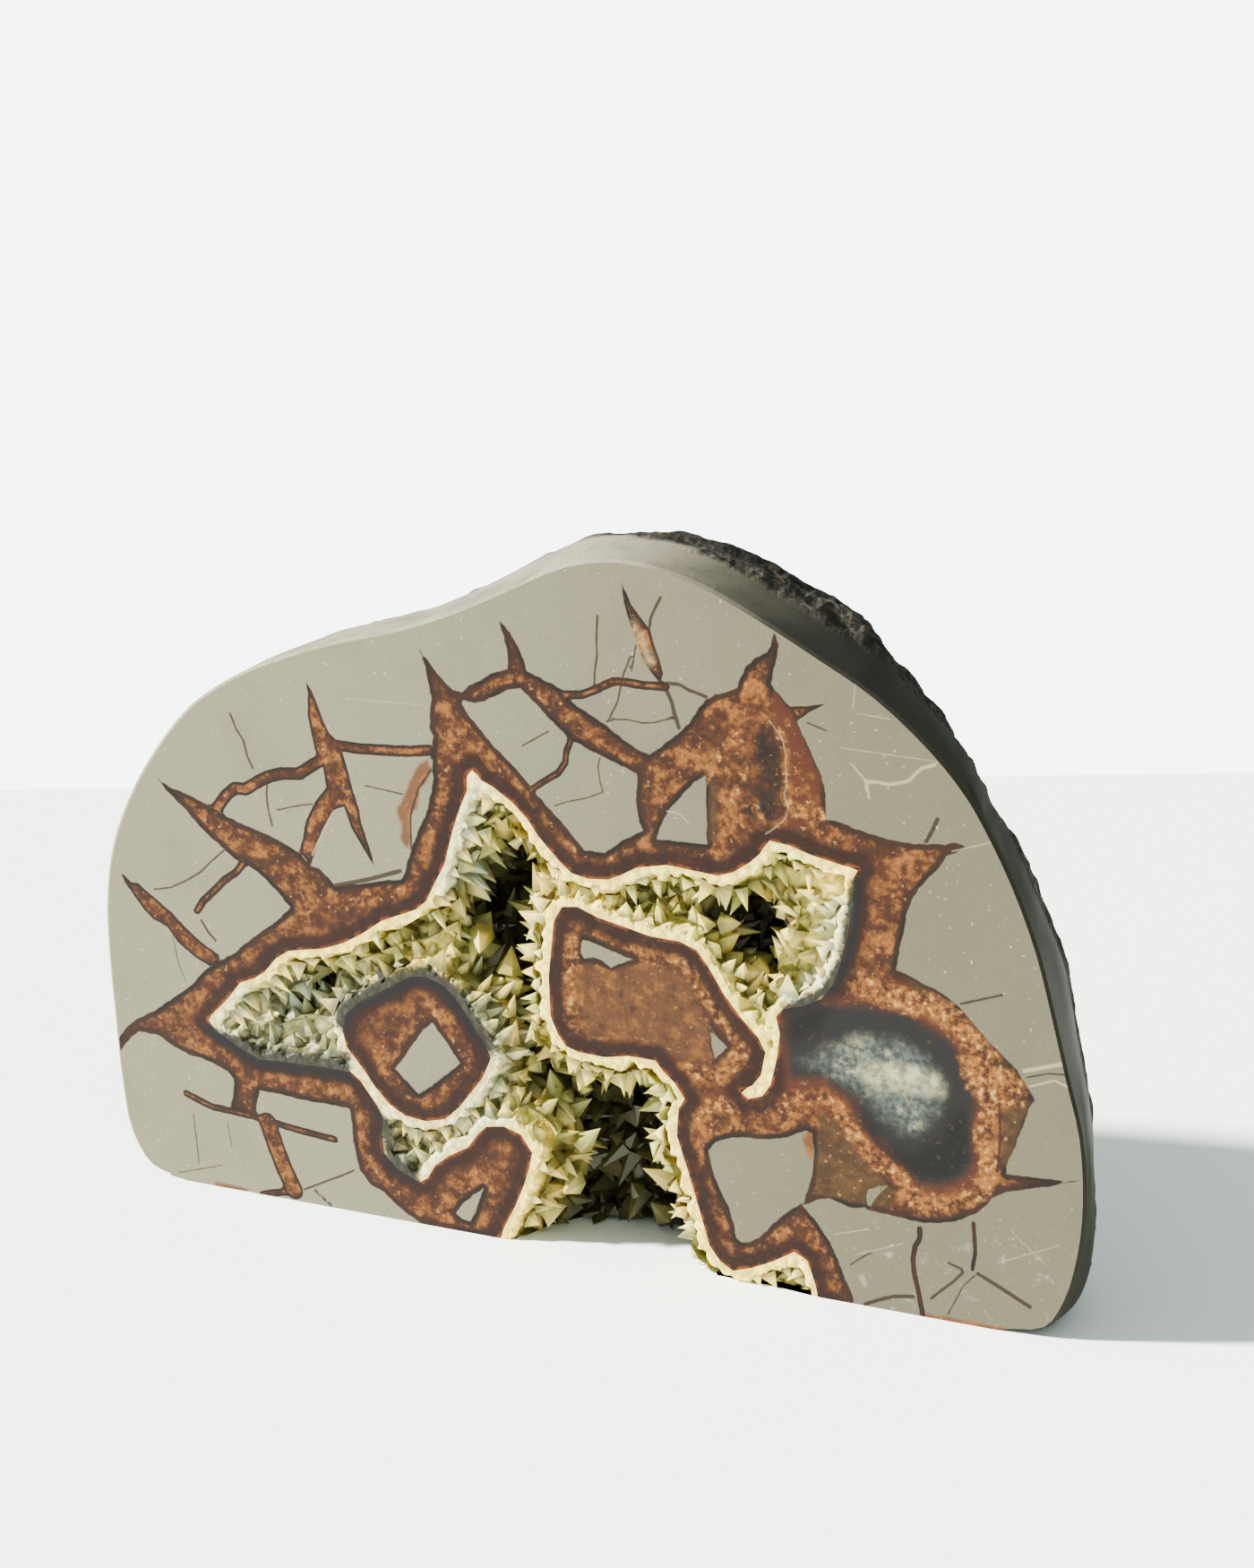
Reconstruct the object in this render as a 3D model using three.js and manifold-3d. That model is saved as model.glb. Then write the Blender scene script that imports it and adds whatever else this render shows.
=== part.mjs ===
// Half of a septarian concretion, cut flat in front and underneath. The stone has a
// ground edge and a rough rind behind; a branching hollow in the cut face is lined
// by one crust of pointed calcite crystals. Millimetres, +Z up, cut face towards -Y.
import * as THREE from 'three';
import { mergeVertices } from 'three/addons/utils/BufferGeometryUtils.js';
import { ImprovedNoise } from 'three/addons/math/ImprovedNoise.js';
import Module from 'manifold-3d';

const wasm = await Module();
wasm.setup();

const HALF_WIDTH = 90; // middle of the stone to either side
const THICKNESS = 48; // cut face to the back of the rind
const EDGE_BREAK = 0.5; // narrow bevel round the cut face
const HEART = [4, 38]; // x, z the rind closes round
const ROUNDNESS = 2.15; // exponent of the rind's curve, 2 is an ellipse
const RIND_RINGS = 7; // rings from the shoulder to the back
const STEPS_PER_POINT = 3; // samples between two points of the face edge
const LUMP_HEIGHT = 0.9; // swell of the rind
const LEDGE_HEIGHT = 0.9; // steps of the weathered upper right
const LARGE = 400; // bigger than the stone, for cutting tools

const HOLLOW_DEPTH = 24; // cut face to the stone behind the crystals
const CRUST_GAP = 0.3; // crust to stone
const VOID_DEPTH = 18.5; // cut face to the bed the rear crystals stand on
const PAST_FACE = 1; // how far a cutting tool starts in front of the face

const WALL_SPACING = 7; // between crystals along a wall
const WALL_ROWS = [6, 13]; // depths of the rows of wall crystals
const CLEARANCE = 2.2; // free space a wall crystal needs ahead, in crystal lengths
const BED_SPACING = 6.8; // between crystals on the rear bed
const CRYSTAL_SIDES = 6;
const FLAT_SIDE = 0.8; // every other edge of a crystal stands this much nearer its axis
const ROOT = 1.2; // length of a crystal buried in the crust

// Edge of the cut face, anticlockwise: x, z, depth of the shoulder where the rind turns
// in, swell behind the face. Points below z = 0 are taken off by the base cut.
const FACE_EDGE = [
  [77, 0, 12, 0.4], [84.6, 1.9, 11, 1.3], [87.6, 7, 10, 1.2], [89.5, 15.5, 7, 0.2],
  [90, 25, 4, 0], [88.9, 36, 4, 0], [86.3, 45.5, 7, 0], [83.5, 56, 9, 0],
  [80.6, 66, 8, 0], [76.3, 76.5, 5, 0], [71.5, 85.5, 2.5, 0], [68.4, 90.3, 2.5, 0],
  [62.4, 97, 8, 0], [53.2, 104.6, 14, 0], [43.8, 110, 21, 0.6], [33, 115.7, 24, 0],
  [22, 120.6, 23, 0.4], [10, 122.8, 20, 0.7], [0, 121.2, 18, 1.8], [-10, 116.4, 18, 2.3],
  [-20, 111.6, 18, 1.5], [-31, 107.4, 17, 0.5], [-42, 104.4, 16, 0.2], [-52, 100.9, 15, 0],
  [-62, 96.3, 14, 0.1], [-71, 90, 14, 0.3], [-78.5, 81.2, 13, 0.3], [-84.3, 71.6, 13, 0.2],
  [-88.3, 61.5, 13, 0], [-90, 50, 14, 0], [-89.9, 39, 14, 0], [-89.3, 28, 14, 0],
  [-88.6, 17, 13, 0], [-87, 7.5, 13, 0], [-83.2, 1.8, 12, 0], [-77, 0, 12, 0],
  [-58, -7, 12, 0], [-30, -12, 12, 0], [0, -14, 12, 0], [30, -12, 12, 0], [58, -7, 12, 0],
];

// Where brown vein meets pale crust on the cut face: x, z.
const HOLLOW_EDGE = [
  [45.9, -3], [45.7, 0], [44.7, 3], [43.6, 6.2], [41.3, 7.6], [37.3, 5], [33.5, 3.1],
  [30.3, 2], [28, 3.3], [26, 6], [24.8, 10], [23.3, 15], [21.7, 20], [20, 25],
  [20.3, 30], [21.5, 31.7], [19.5, 34.5], [17.5, 36.2], [16, 38], [11, 38], [7, 37.1],
  [2, 37.3], [-0.2, 38], [-1.7, 40], [-3, 43], [-3.3, 50], [-2.8, 55], [-2.3, 60],
  [-0.8, 62.8], [2, 63.2], [5.7, 61.8], [11, 60.7], [15, 59.8], [20.3, 59.6],
  [23.3, 58.5], [25.5, 55.7], [28, 51.7], [31, 48], [34.2, 44.8], [35.5, 42.4],
  [34.8, 38.3], [33.3, 36.2], [31.2, 34.9], [32.4, 33.6], [35.2, 34.6], [36.6, 37],
  [37.6, 42], [38, 46], [37.3, 49], [38.5, 50.5], [42, 51.5], [45, 53.2], [47, 56],
  [48.2, 60], [49.3, 65], [50, 70], [50, 74.5], [50.8, 76.2], [48, 76.4], [43, 77.4],
  [39, 78.6], [35.5, 79], [34, 76.5], [32.5, 75], [29.5, 72.8], [26.8, 71.9],
  [22, 72.3], [18, 72.6], [12.7, 71.5], [10, 69.9], [7.5, 68.7], [4, 68.4], [1, 69],
  [-1.2, 70.8], [-5, 74.7], [-7, 77.5], [-9.7, 80], [-13, 82.2], [-15.3, 83.2],
  [-16.7, 85], [-17.9, 83.8], [-18, 81], [-19.3, 78], [-20.7, 74], [-22.5, 67.3],
  [-24.3, 64], [-26, 60.5], [-28, 58.7], [-34.7, 55.7], [-38, 53.2], [-42, 50.7],
  [-46, 49.1], [-53, 47.7], [-55.5, 46], [-58, 43], [-60, 41.6], [-63, 40.3],
  [-65.5, 37], [-69, 33.4], [-69.8, 32], [-68, 30.3], [-63, 27.7], [-59.5, 26.3],
  [-50, 26.8], [-41.5, 26.8], [-39.6, 25.4], [-38, 23.3], [-36.4, 21.3], [-35.2, 19],
  [-35.6, 15.5], [-35.2, 12.3], [-33, 10], [-28.3, 8], [-26.8, 9], [-25.3, 11.7],
  [-22.5, 14], [-18.9, 16.2], [-17, 19], [-15.3, 20.7], [-12, 21.3], [-8.8, 20.3],
  [-6.7, 17.3], [-7.3, 14.3], [-8.3, 11], [-10, 6.7], [-11.6, 3.5], [-13.2, 0], [-13.4, -3],
];

// The block of stone that stands alone in the left half of the hollow: x, z.
const ISLAND_EDGE = [
  [-14.3, 33.5], [-15.3, 36.3], [-17.2, 38.5], [-19, 41.3], [-21, 43.8], [-23.5, 45.8],
  [-26.5, 46.8], [-29.3, 46.3], [-32, 44.6], [-39.5, 40], [-42, 37.5], [-42.8, 34.3],
  [-42, 31.3], [-40.3, 29.3], [-38.2, 26.8], [-36.6, 24.6], [-34, 21.9], [-31, 20.2],
  [-27, 19.8], [-23.2, 20.8], [-20.5, 23.5], [-16, 29.5],
];

// Toothed inner edge of the crust round the left and bottom openings: x, z.
const LEFT_OPENING = [
  [27, -3], [27, 0.7], [23.7, 2.3], [22.2, 5], [23, 7.3], [22.3, 10], [19.3, 11],
  [19.7, 13.7], [17.8, 15.2], [19.2, 17], [18.3, 19], [17, 21], [17.7, 23.7],
  [17.3, 25.3], [18, 27.3], [17.3, 29.7], [18.3, 31], [17, 33.3], [14.7, 35],
  [13, 35.7], [11.3, 34.7], [8, 33.7], [6, 32], [4.7, 32.5], [3.3, 34], [1, 32.3],
  [-2.7, 32.6], [-3.7, 34.7], [-3.3, 36], [-5.7, 38], [-6.3, 40.3], [-5, 42.3],
  [-6.3, 44.7], [-6, 48.7], [-6.8, 50], [-6.5, 53], [-5.7, 55], [-6.7, 57], [-6, 59.7],
  [-5.3, 63.7], [-3, 65.3], [-0.8, 66.7], [-1.7, 68.7], [-5.3, 68], [-6, 71.3],
  [-7.5, 71], [-8.7, 73.7], [-9.3, 75.7], [-11, 74.8], [-11.7, 78.8], [-14.7, 78.5],
  [-16.3, 78], [-17.7, 75.7], [-16, 74.7], [-15.3, 73], [-16.7, 70.7], [-19.7, 68],
  [-20.7, 64.7], [-20.3, 61.3], [-23.3, 59], [-27.3, 57.4], [-30.3, 55.3], [-32, 54],
  [-35, 52], [-37, 51.7], [-40.8, 49], [-43, 47.3], [-46, 47], [-51.7, 45.7],
  [-50.7, 44.3], [-50, 42], [-54.3, 40], [-58, 37.7], [-57.7, 35], [-56.3, 32.7],
  [-53.7, 34.3], [-48.7, 35], [-46.7, 39.3], [-45, 40.9], [-43.7, 44.7], [-41.3, 46.7],
  [-37.7, 48.3], [-35.3, 49.7], [-31.3, 51.7], [-26.7, 53], [-24, 54.7], [-22.7, 57],
  [-21, 54.7], [-22, 52.7], [-21.3, 48], [-19, 46.3], [-15.2, 44.7], [-13, 43.7],
  [-11.5, 42.3], [-12.7, 39.3], [-10.8, 38.3], [-12, 34], [-10.2, 32.7], [-9.5, 28.5],
  [-9.7, 24.7], [-8, 25.3], [-5.2, 24], [-3.5, 22.7], [-2.5, 21.3], [-3.7, 17.3],
  [-1.3, 15.5], [-4.3, 13], [-5, 10.3], [-7.3, 5.7], [-10.3, 0.3], [-10.6, -3],
];

// Toothed inner edge of the crust round the upper right opening: x, z.
const RIGHT_OPENING = [
  [10.2, 67.3], [12, 66.8], [14.3, 67], [15.5, 69.5], [17, 69.7], [18.5, 67.7],
  [20, 67.2], [21.7, 69], [23.3, 67.5], [24.7, 69], [27.2, 70], [30.7, 69.7], [32, 71],
  [34, 71.8], [36, 71.2], [37.3, 68.7], [40.3, 66.7], [39.7, 63], [37.3, 59.3],
  [37, 56.7], [38.3, 55.7], [36.7, 54.7], [37, 51], [35.3, 49.7], [34, 52], [33, 50.5],
  [31, 51.2], [30.3, 52.7], [30.7, 55.3], [28, 55.7], [26.4, 56.9], [26, 58.5],
  [24.5, 59.9], [23.7, 62.3], [19, 63.3], [17.3, 64.7], [16.3, 66], [15.3, 65],
  [14, 65.7], [11.7, 63], [10.3, 64.7],
];

const STONE_FINISH = { color: 0x8c887a, roughness: 0.45, metalness: 0 };
const CRUST_FINISH = { color: 0xe6dfae, roughness: 0.3, metalness: 0 };

const noise = new ImprovedNoise();

function solidOf(geometry) {
  const bare = geometry.clone();
  bare.deleteAttribute('normal');
  bare.deleteAttribute('uv');
  const merged = mergeVertices(bare, 1e-4);
  return new wasm.Manifold(new wasm.Mesh({
    numProp: 3,
    vertProperties: new Float32Array(merged.attributes.position.array),
    triVerts: new Uint32Array(merged.index.array),
  }));
}

function geometryOf(solid) {
  const mesh = solid.getMesh();
  const geometry = new THREE.BufferGeometry();
  geometry.setAttribute('position', new THREE.BufferAttribute(mesh.vertProperties, 3));
  geometry.setIndex(new THREE.BufferAttribute(mesh.triVerts, 1));
  const flat = geometry.toNonIndexed();
  flat.computeVertexNormals();
  return flat;
}

// Only the outer skin of the largest body: pockets sealed between crystals are filled.
function outerSkin(solid) {
  const { vertProperties, triVerts } = solid.getMesh();
  const group = Array.from({ length: vertProperties.length / 3 }, (_, i) => i);
  const rootOf = (i) => {
    let root = i;
    while (group[root] !== root) root = group[root];
    group[i] = root;
    return root;
  };
  for (let t = 0; t < triVerts.length; t += 3) {
    group[rootOf(triVerts[t + 1])] = rootOf(triVerts[t]);
    group[rootOf(triVerts[t + 2])] = rootOf(triVerts[t]);
  }
  const skins = new Map();
  const corner = (i) => new THREE.Vector3().fromArray(vertProperties, 3 * i);
  for (let t = 0; t < triVerts.length; t += 3) {
    const face = [...triVerts.slice(t, t + 3)];
    const [a, b, c] = face.map(corner);
    const skin = skins.get(rootOf(face[0])) ?? { volume: 0, faces: [] };
    skin.volume += a.dot(b.cross(c)) / 6;
    skin.faces.push(...face);
    skins.set(rootOf(face[0]), skin);
  }
  const largest = [...skins.values()].sort((a, b) => b.volume - a.volume)[0];
  return closedSolid([...vertProperties], largest.faces);
}

// Block that keeps what lies above the base cut and behind the cut face.
function keepingBlock() {
  const block = new THREE.BoxGeometry(LARGE, LARGE, LARGE);
  return solidOf(block.translate(0, LARGE / 2, LARGE / 2));
}

function vectors(points) {
  const outline = points.map(([x, z]) => new THREE.Vector2(x, z));
  return THREE.ShapeUtils.isClockWise(outline) ? outline.reverse() : outline;
}

// Anticlockwise outline moved sideways: positive goes into the area it encloses.
function inset(outline, distance) {
  return outline.map((point, i) => {
    const a = point.clone().sub(outline.at(i - 1)).normalize();
    const b = outline[(i + 1) % outline.length].clone().sub(point).normalize();
    const inwards = new THREE.Vector2(-a.y - b.y, a.x + b.x).normalize();
    const along = Math.max(0.6, inwards.dot(new THREE.Vector2(-a.y, a.x)));
    return point.clone().addScaledVector(inwards, distance / along);
  });
}

// Outline with its teeth worn down: each point drawn towards its neighbours.
function worn(outline, times) {
  let result = outline;
  for (let pass = 0; pass < times; pass += 1) {
    const last = result;
    result = last.map((point, i) => point.clone().multiplyScalar(2)
      .add(last.at(i - 1)).add(last[(i + 1) % last.length]).divideScalar(4));
  }
  return result;
}

// Straight prism behind an outline on the cut face, from one depth to another.
function prism(outline, holes, from, to) {
  const shape = new THREE.Shape(outline);
  shape.holes = holes.map((hole) => new THREE.Path(hole));
  const geometry = new THREE.ExtrudeGeometry(shape, { depth: to - from, bevelEnabled: false });
  return solidOf(geometry.rotateX(Math.PI / 2).translate(0, to, 0));
}

// Triangles of a flat cap, all turned the same way as an anticlockwise outline.
function cap(outline) {
  return THREE.ShapeUtils.triangulateShape(outline, []).map(([a, b, c]) => {
    const clockwise = THREE.ShapeUtils.isClockWise([outline[a], outline[b], outline[c]]);
    return clockwise ? [a, c, b] : [a, b, c];
  });
}

// Closed skin over anticlockwise outlines with the same number of points, front to back.
function loft(outlines, depths) {
  const count = outlines[0].length;
  const position = outlines.flatMap((outline, ring) => outline.flatMap((p) => [p.x, depths[ring], p.y]));
  const index = [];
  for (let ring = 0; ring + 1 < outlines.length; ring += 1) {
    for (let i = 0; i < count; i += 1) {
      const a = ring * count + i;
      const b = ring * count + (i + 1) % count;
      index.push(a, b + count, b, a, a + count, b + count);
    }
  }
  const back = (outlines.length - 1) * count;
  cap(outlines[0]).forEach((face) => index.push(...face));
  cap(outlines.at(-1)).forEach(([a, b, c]) => index.push(back + a, back + c, back + b));
  return closedSolid(position, index);
}

function closedSolid(position, index) {
  const geometry = new THREE.BufferGeometry();
  geometry.setAttribute('position', new THREE.Float32BufferAttribute(position, 3));
  geometry.setIndex(index);
  const solid = solidOf(geometry);
  if (solid.volume() < 0) {
    return solidOf(geometry.setIndex(index.reverse()));
  }
  return solid;
}

// Swell and weathered steps of the rind, outwards from the heart.
function relief(x, depth, z) {
  const lumps = noise.noise(x / 17, depth / 15, z / 17) + 0.5 * noise.noise(x / 7, depth / 7 + 9, z / 7);
  const weathered = THREE.MathUtils.smoothstep(x, 22, 38) * THREE.MathUtils.smoothstep(z, 62, 84);
  const steps = Math.round(2.4 * noise.noise(x / 8 + 5, depth / 5, z / 8)) / 2;
  return LUMP_HEIGHT * lumps + LEDGE_HEIGHT * weathered * steps;
}

// One point of the stone's skin: edge sample, depth, share of its radius, share of swell.
function skinPoint(sample, depth, share, swell, rough) {
  const away = new THREE.Vector2(sample.x - HEART[0], sample.z - HEART[1]);
  const radius = away.length() * share + swell * sample.swell;
  away.normalize();
  const x = HEART[0] + away.x * radius;
  const z = HEART[1] + away.y * radius;
  const out = rough * relief(x, depth, z);
  return [THREE.MathUtils.clamp(x + away.x * out, -HALF_WIDTH, HALF_WIDTH), depth, z + away.y * out];
}

function edgeSamples() {
  const closed = [new THREE.CatmullRomCurve3(FACE_EDGE.map(([x, z, depth]) =>
    new THREE.Vector3(x, z, depth)), true, 'centripetal')];
  closed.push(new THREE.CatmullRomCurve3(FACE_EDGE.map(([x, z, , swell]) =>
    new THREE.Vector3(x, z, swell)), true, 'centripetal'));
  const count = FACE_EDGE.length * STEPS_PER_POINT;
  return Array.from({ length: count }, (_, i) => {
    const [place, swell] = closed.map((curve) => curve.getPoint(i / count));
    return { x: place.x, z: place.y, shoulder: place.z, swell: swell.z };
  });
}

function stoneSkin() {
  const samples = edgeSamples();
  const rings = [
    samples.map((s) => skinPoint(s, 0, 1 - EDGE_BREAK / 80, 0, 0)),
    samples.map((s) => skinPoint(s, EDGE_BREAK, 1, 0, 0)),
    samples.map((s) => skinPoint(s, s.shoulder * 0.5, 1, 0.8, 0)),
    samples.map((s) => skinPoint(s, s.shoulder, 1, 1, 0.6)),
  ];
  for (let ring = 1; ring <= RIND_RINGS; ring += 1) {
    const angle = (ring / (RIND_RINGS + 0.6)) * Math.PI / 2;
    const share = Math.cos(angle) ** (2 / ROUNDNESS);
    const reach = Math.sin(angle) ** (2 / ROUNDNESS);
    rings.push(samples.map((s) =>
      skinPoint(s, s.shoulder + (THICKNESS - s.shoulder) * reach, share, share, share)));
  }
  return rings;
}

function stoneBlank() {
  const rings = stoneSkin();
  const count = rings[0].length;
  const position = [...rings.flat(2), HEART[0], 0, HEART[1], HEART[0], THICKNESS, HEART[1]];
  const front = rings.length * count;
  const back = front + 1;
  const index = [];
  for (let i = 0; i < count; i += 1) {
    const next = (i + 1) % count;
    index.push(front, i, next);
    for (let ring = 0; ring + 1 < rings.length; ring += 1) {
      const a = ring * count + i;
      const b = ring * count + next;
      index.push(a, b + count, b, a, a + count, b + count);
    }
    const last = (rings.length - 1) * count;
    index.push(back, last + next, last + i);
  }
  return closedSolid(position, index);
}

function nodule() {
  const hollow = prism(vectors(HOLLOW_EDGE), [vectors(ISLAND_EDGE)], -PAST_FACE, HOLLOW_DEPTH);
  return stoneBlank().intersect(keepingBlock()).subtract(hollow);
}

// Pointed crystal: sharp and blunt edges in turn, a root below the surface it grows on.
function crystal(foot, axis, length, radius, twist) {
  const upright = new THREE.Vector3(0, 0, 1);
  const turn = new THREE.Quaternion().setFromUnitVectors(upright, axis.clone().normalize());
  const place = (x, y, z) => new THREE.Vector3(x, y, z).applyQuaternion(turn).add(foot);
  const ring = Array.from({ length: CRYSTAL_SIDES }, (_, i) => {
    const angle = twist + (i / CRYSTAL_SIDES) * 2 * Math.PI;
    const reach = i % 2 ? radius * FLAT_SIDE : radius;
    return place(Math.cos(angle) * reach, Math.sin(angle) * reach, -ROOT);
  });
  const points = [...ring, place(0, 0, -ROOT), place(0, 0, length)];
  const index = ring.flatMap((_, i) => {
    const next = (i + 1) % CRYSTAL_SIDES;
    return [i, next, CRYSTAL_SIDES + 1, next, i, CRYSTAL_SIDES];
  });
  return closedSolid(points.flatMap((p) => p.toArray()), index);
}

// Repeatable number from 0 to 1 for a crystal and one of its traits.
function chance(seed, trait) {
  const wave = Math.sin(seed * 12.9898 + trait * 78.233) * 43758.5453;
  return wave - Math.floor(wave);
}

function wallCrystals(outline, firstSeed) {
  const wall = worn(outline, 2);
  const path = new THREE.CatmullRomCurve3(wall.map((p) => new THREE.Vector3(p.x, 0, p.y)), true);
  const count = Math.floor(path.getLength() / WALL_SPACING);
  const grown = [];
  WALL_ROWS.forEach((depth, row) => {
    for (let i = 0; i < count; i += 1) {
      const seed = firstSeed + row * count + i;
      const t = (i + 0.5 * (row % 2) + 0.5 * chance(seed, 1)) / count;
      const foot = path.getPointAt(t % 1);
      const tangent = path.getTangentAt(t % 1);
      const axis = new THREE.Vector3(-tangent.z, 0, tangent.x);
      axis.y = -0.15 - 0.5 * chance(seed, 2);
      axis.addScaledVector(tangent, chance(seed, 3) - 0.5);
      foot.y = depth + 3 * chance(seed, 4);
      const length = 2.8 + 3 * chance(seed, 5);
      const ahead = foot.clone().addScaledVector(axis, length * CLEARANCE);
      if (inside(wall, ahead.x, ahead.z)) {
        grown.push(crystal(foot, axis, length, 2.2 + 1.1 * chance(seed, 6), seed));
      }
    }
  });
  return grown;
}

function inside(outline, x, z) {
  return outline.reduce((within, a, i) => {
    const b = outline.at(i - 1);
    const crosses = (a.y > z) !== (b.y > z) && x < a.x + ((z - a.y) / (b.y - a.y)) * (b.x - a.x);
    return crosses ? !within : within;
  }, false);
}

function bedCrystals(outline, firstSeed) {
  const area = new THREE.Box2().setFromPoints(outline);
  const grown = [];
  let seed = firstSeed;
  for (let z = area.min.y; z < area.max.y; z += BED_SPACING * 0.87) {
    for (let x = area.min.x; x < area.max.x; x += BED_SPACING) {
      seed += 1;
      const at = [x + BED_SPACING * chance(seed, 1), z + BED_SPACING * chance(seed, 2)];
      if (inside(outline, ...at)) {
        const foot = new THREE.Vector3(at[0], VOID_DEPTH + 0.5, at[1]);
        const axis = new THREE.Vector3(chance(seed, 3) - 0.5, -1, chance(seed, 4) - 0.3);
        grown.push(crystal(foot, axis, 3.5 + 4 * chance(seed, 5), 2.9 + 1.3 * chance(seed, 6), seed));
      }
    }
  }
  return grown;
}

// Space left open inside the crust behind one toothed outline.
function opening(outline) {
  const shallow = [outline, outline, worn(outline, 1), worn(outline, 3)];
  return loft(shallow, [-PAST_FACE, 2.2, 8, VOID_DEPTH]);
}

function crystalCrust() {
  const edge = inset(vectors(HOLLOW_EDGE), CRUST_GAP);
  const island = inset(vectors(ISLAND_EDGE), -CRUST_GAP);
  const room = prism(edge, [island], 0, HOLLOW_DEPTH - CRUST_GAP).intersect(keepingBlock());
  const outlines = [vectors(LEFT_OPENING), vectors(RIGHT_OPENING)];
  const bare = outlines.reduce((solid, outline) => solid.subtract(opening(outline)), room);
  const grown = outlines.flatMap((outline, i) =>
    [...wallCrystals(outline, 500 * i), ...bedCrystals(outline, 1000 + 500 * i)]);
  return outerSkin(wasm.Manifold.union([bare, ...grown]).intersect(room));
}

function namedMesh(name, solid, finish) {
  const geometry = geometryOf(solid).translate(0, -THICKNESS / 2, 0);
  const mesh = new THREE.Mesh(geometry, new THREE.MeshStandardMaterial(finish));
  mesh.name = name;
  return mesh;
}

const part = new THREE.Group();
part.name = 'septarian_nodule';
part.add(namedMesh('nodule', nodule(), STONE_FINISH));
part.add(namedMesh('crystal_crust', crystalCrust(), CRUST_FINISH));

export default part;
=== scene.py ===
"""Half of a septarian concretion: a polished cut face with brown calcite veins round a hollow lined
with pale crystals, a ground edge and a rough rind. Lengths of the tracings are millimetres on the
cut face, x to the right and z up; meshes are in metres in the frame's own axes."""

import logging
import math
from collections.abc import Iterable
from dataclasses import dataclass
from enum import Enum

import bmesh
import bpy
import numpy as np
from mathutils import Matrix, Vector, noise
from mathutils.geometry import delaunay_2d_cdt


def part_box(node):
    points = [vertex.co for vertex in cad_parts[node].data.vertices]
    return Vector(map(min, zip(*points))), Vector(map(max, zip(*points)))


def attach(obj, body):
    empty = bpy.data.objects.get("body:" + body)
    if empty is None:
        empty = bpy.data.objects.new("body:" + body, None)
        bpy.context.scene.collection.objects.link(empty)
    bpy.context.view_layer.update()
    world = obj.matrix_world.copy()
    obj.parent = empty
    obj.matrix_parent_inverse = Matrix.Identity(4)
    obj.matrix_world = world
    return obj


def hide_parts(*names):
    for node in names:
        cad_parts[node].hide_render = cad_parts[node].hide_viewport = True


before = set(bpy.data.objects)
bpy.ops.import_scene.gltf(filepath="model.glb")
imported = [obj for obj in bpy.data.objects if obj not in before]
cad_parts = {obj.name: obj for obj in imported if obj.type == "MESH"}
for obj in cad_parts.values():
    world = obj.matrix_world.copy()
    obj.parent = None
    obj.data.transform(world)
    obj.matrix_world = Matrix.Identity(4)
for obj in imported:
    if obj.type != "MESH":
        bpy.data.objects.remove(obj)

LOG = logging.getLogger("septarian_nodule")
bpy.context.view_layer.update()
MM = 0.001
FACE_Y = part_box("nodule")[0].y
ON_FACE = 0.00002  # a corner this near the cut face or the base is on it, m
SAME = ON_FACE / 4  # corners this near each other are one, m
SAME_SPOT = 1e-4  # the same on the flat cut face, mm
CLEAR = 0.0001  # how far crystals stay behind the cut face and above the base, m
RETURNED = 0.38  # share of a colour as it looks in the sun that the surface itself returns
FAR = 60.0  # reach given to a point that no tracing comes near, mm
LOWEST_DRAWN = 0.05  # the base cuts the tracings off at this height, mm
ON_VEIN = 0.05  # a point this near the vein's inner line has no way to turn from it, mm
ROW_STEP = 0.866  # height of an even-sided triangle with sides of 1
LUMPS = (0.9, 2.1, 4)  # how fast finer lumps of rind fade, how much finer each is, how many
ELSEWHERE = Vector((5, 0, 0))  # so that the ledges don't follow the lumps

Point = tuple[float, float]
Triple = tuple[float, float, float]
Outline = tuple[Point, ...]

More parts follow.
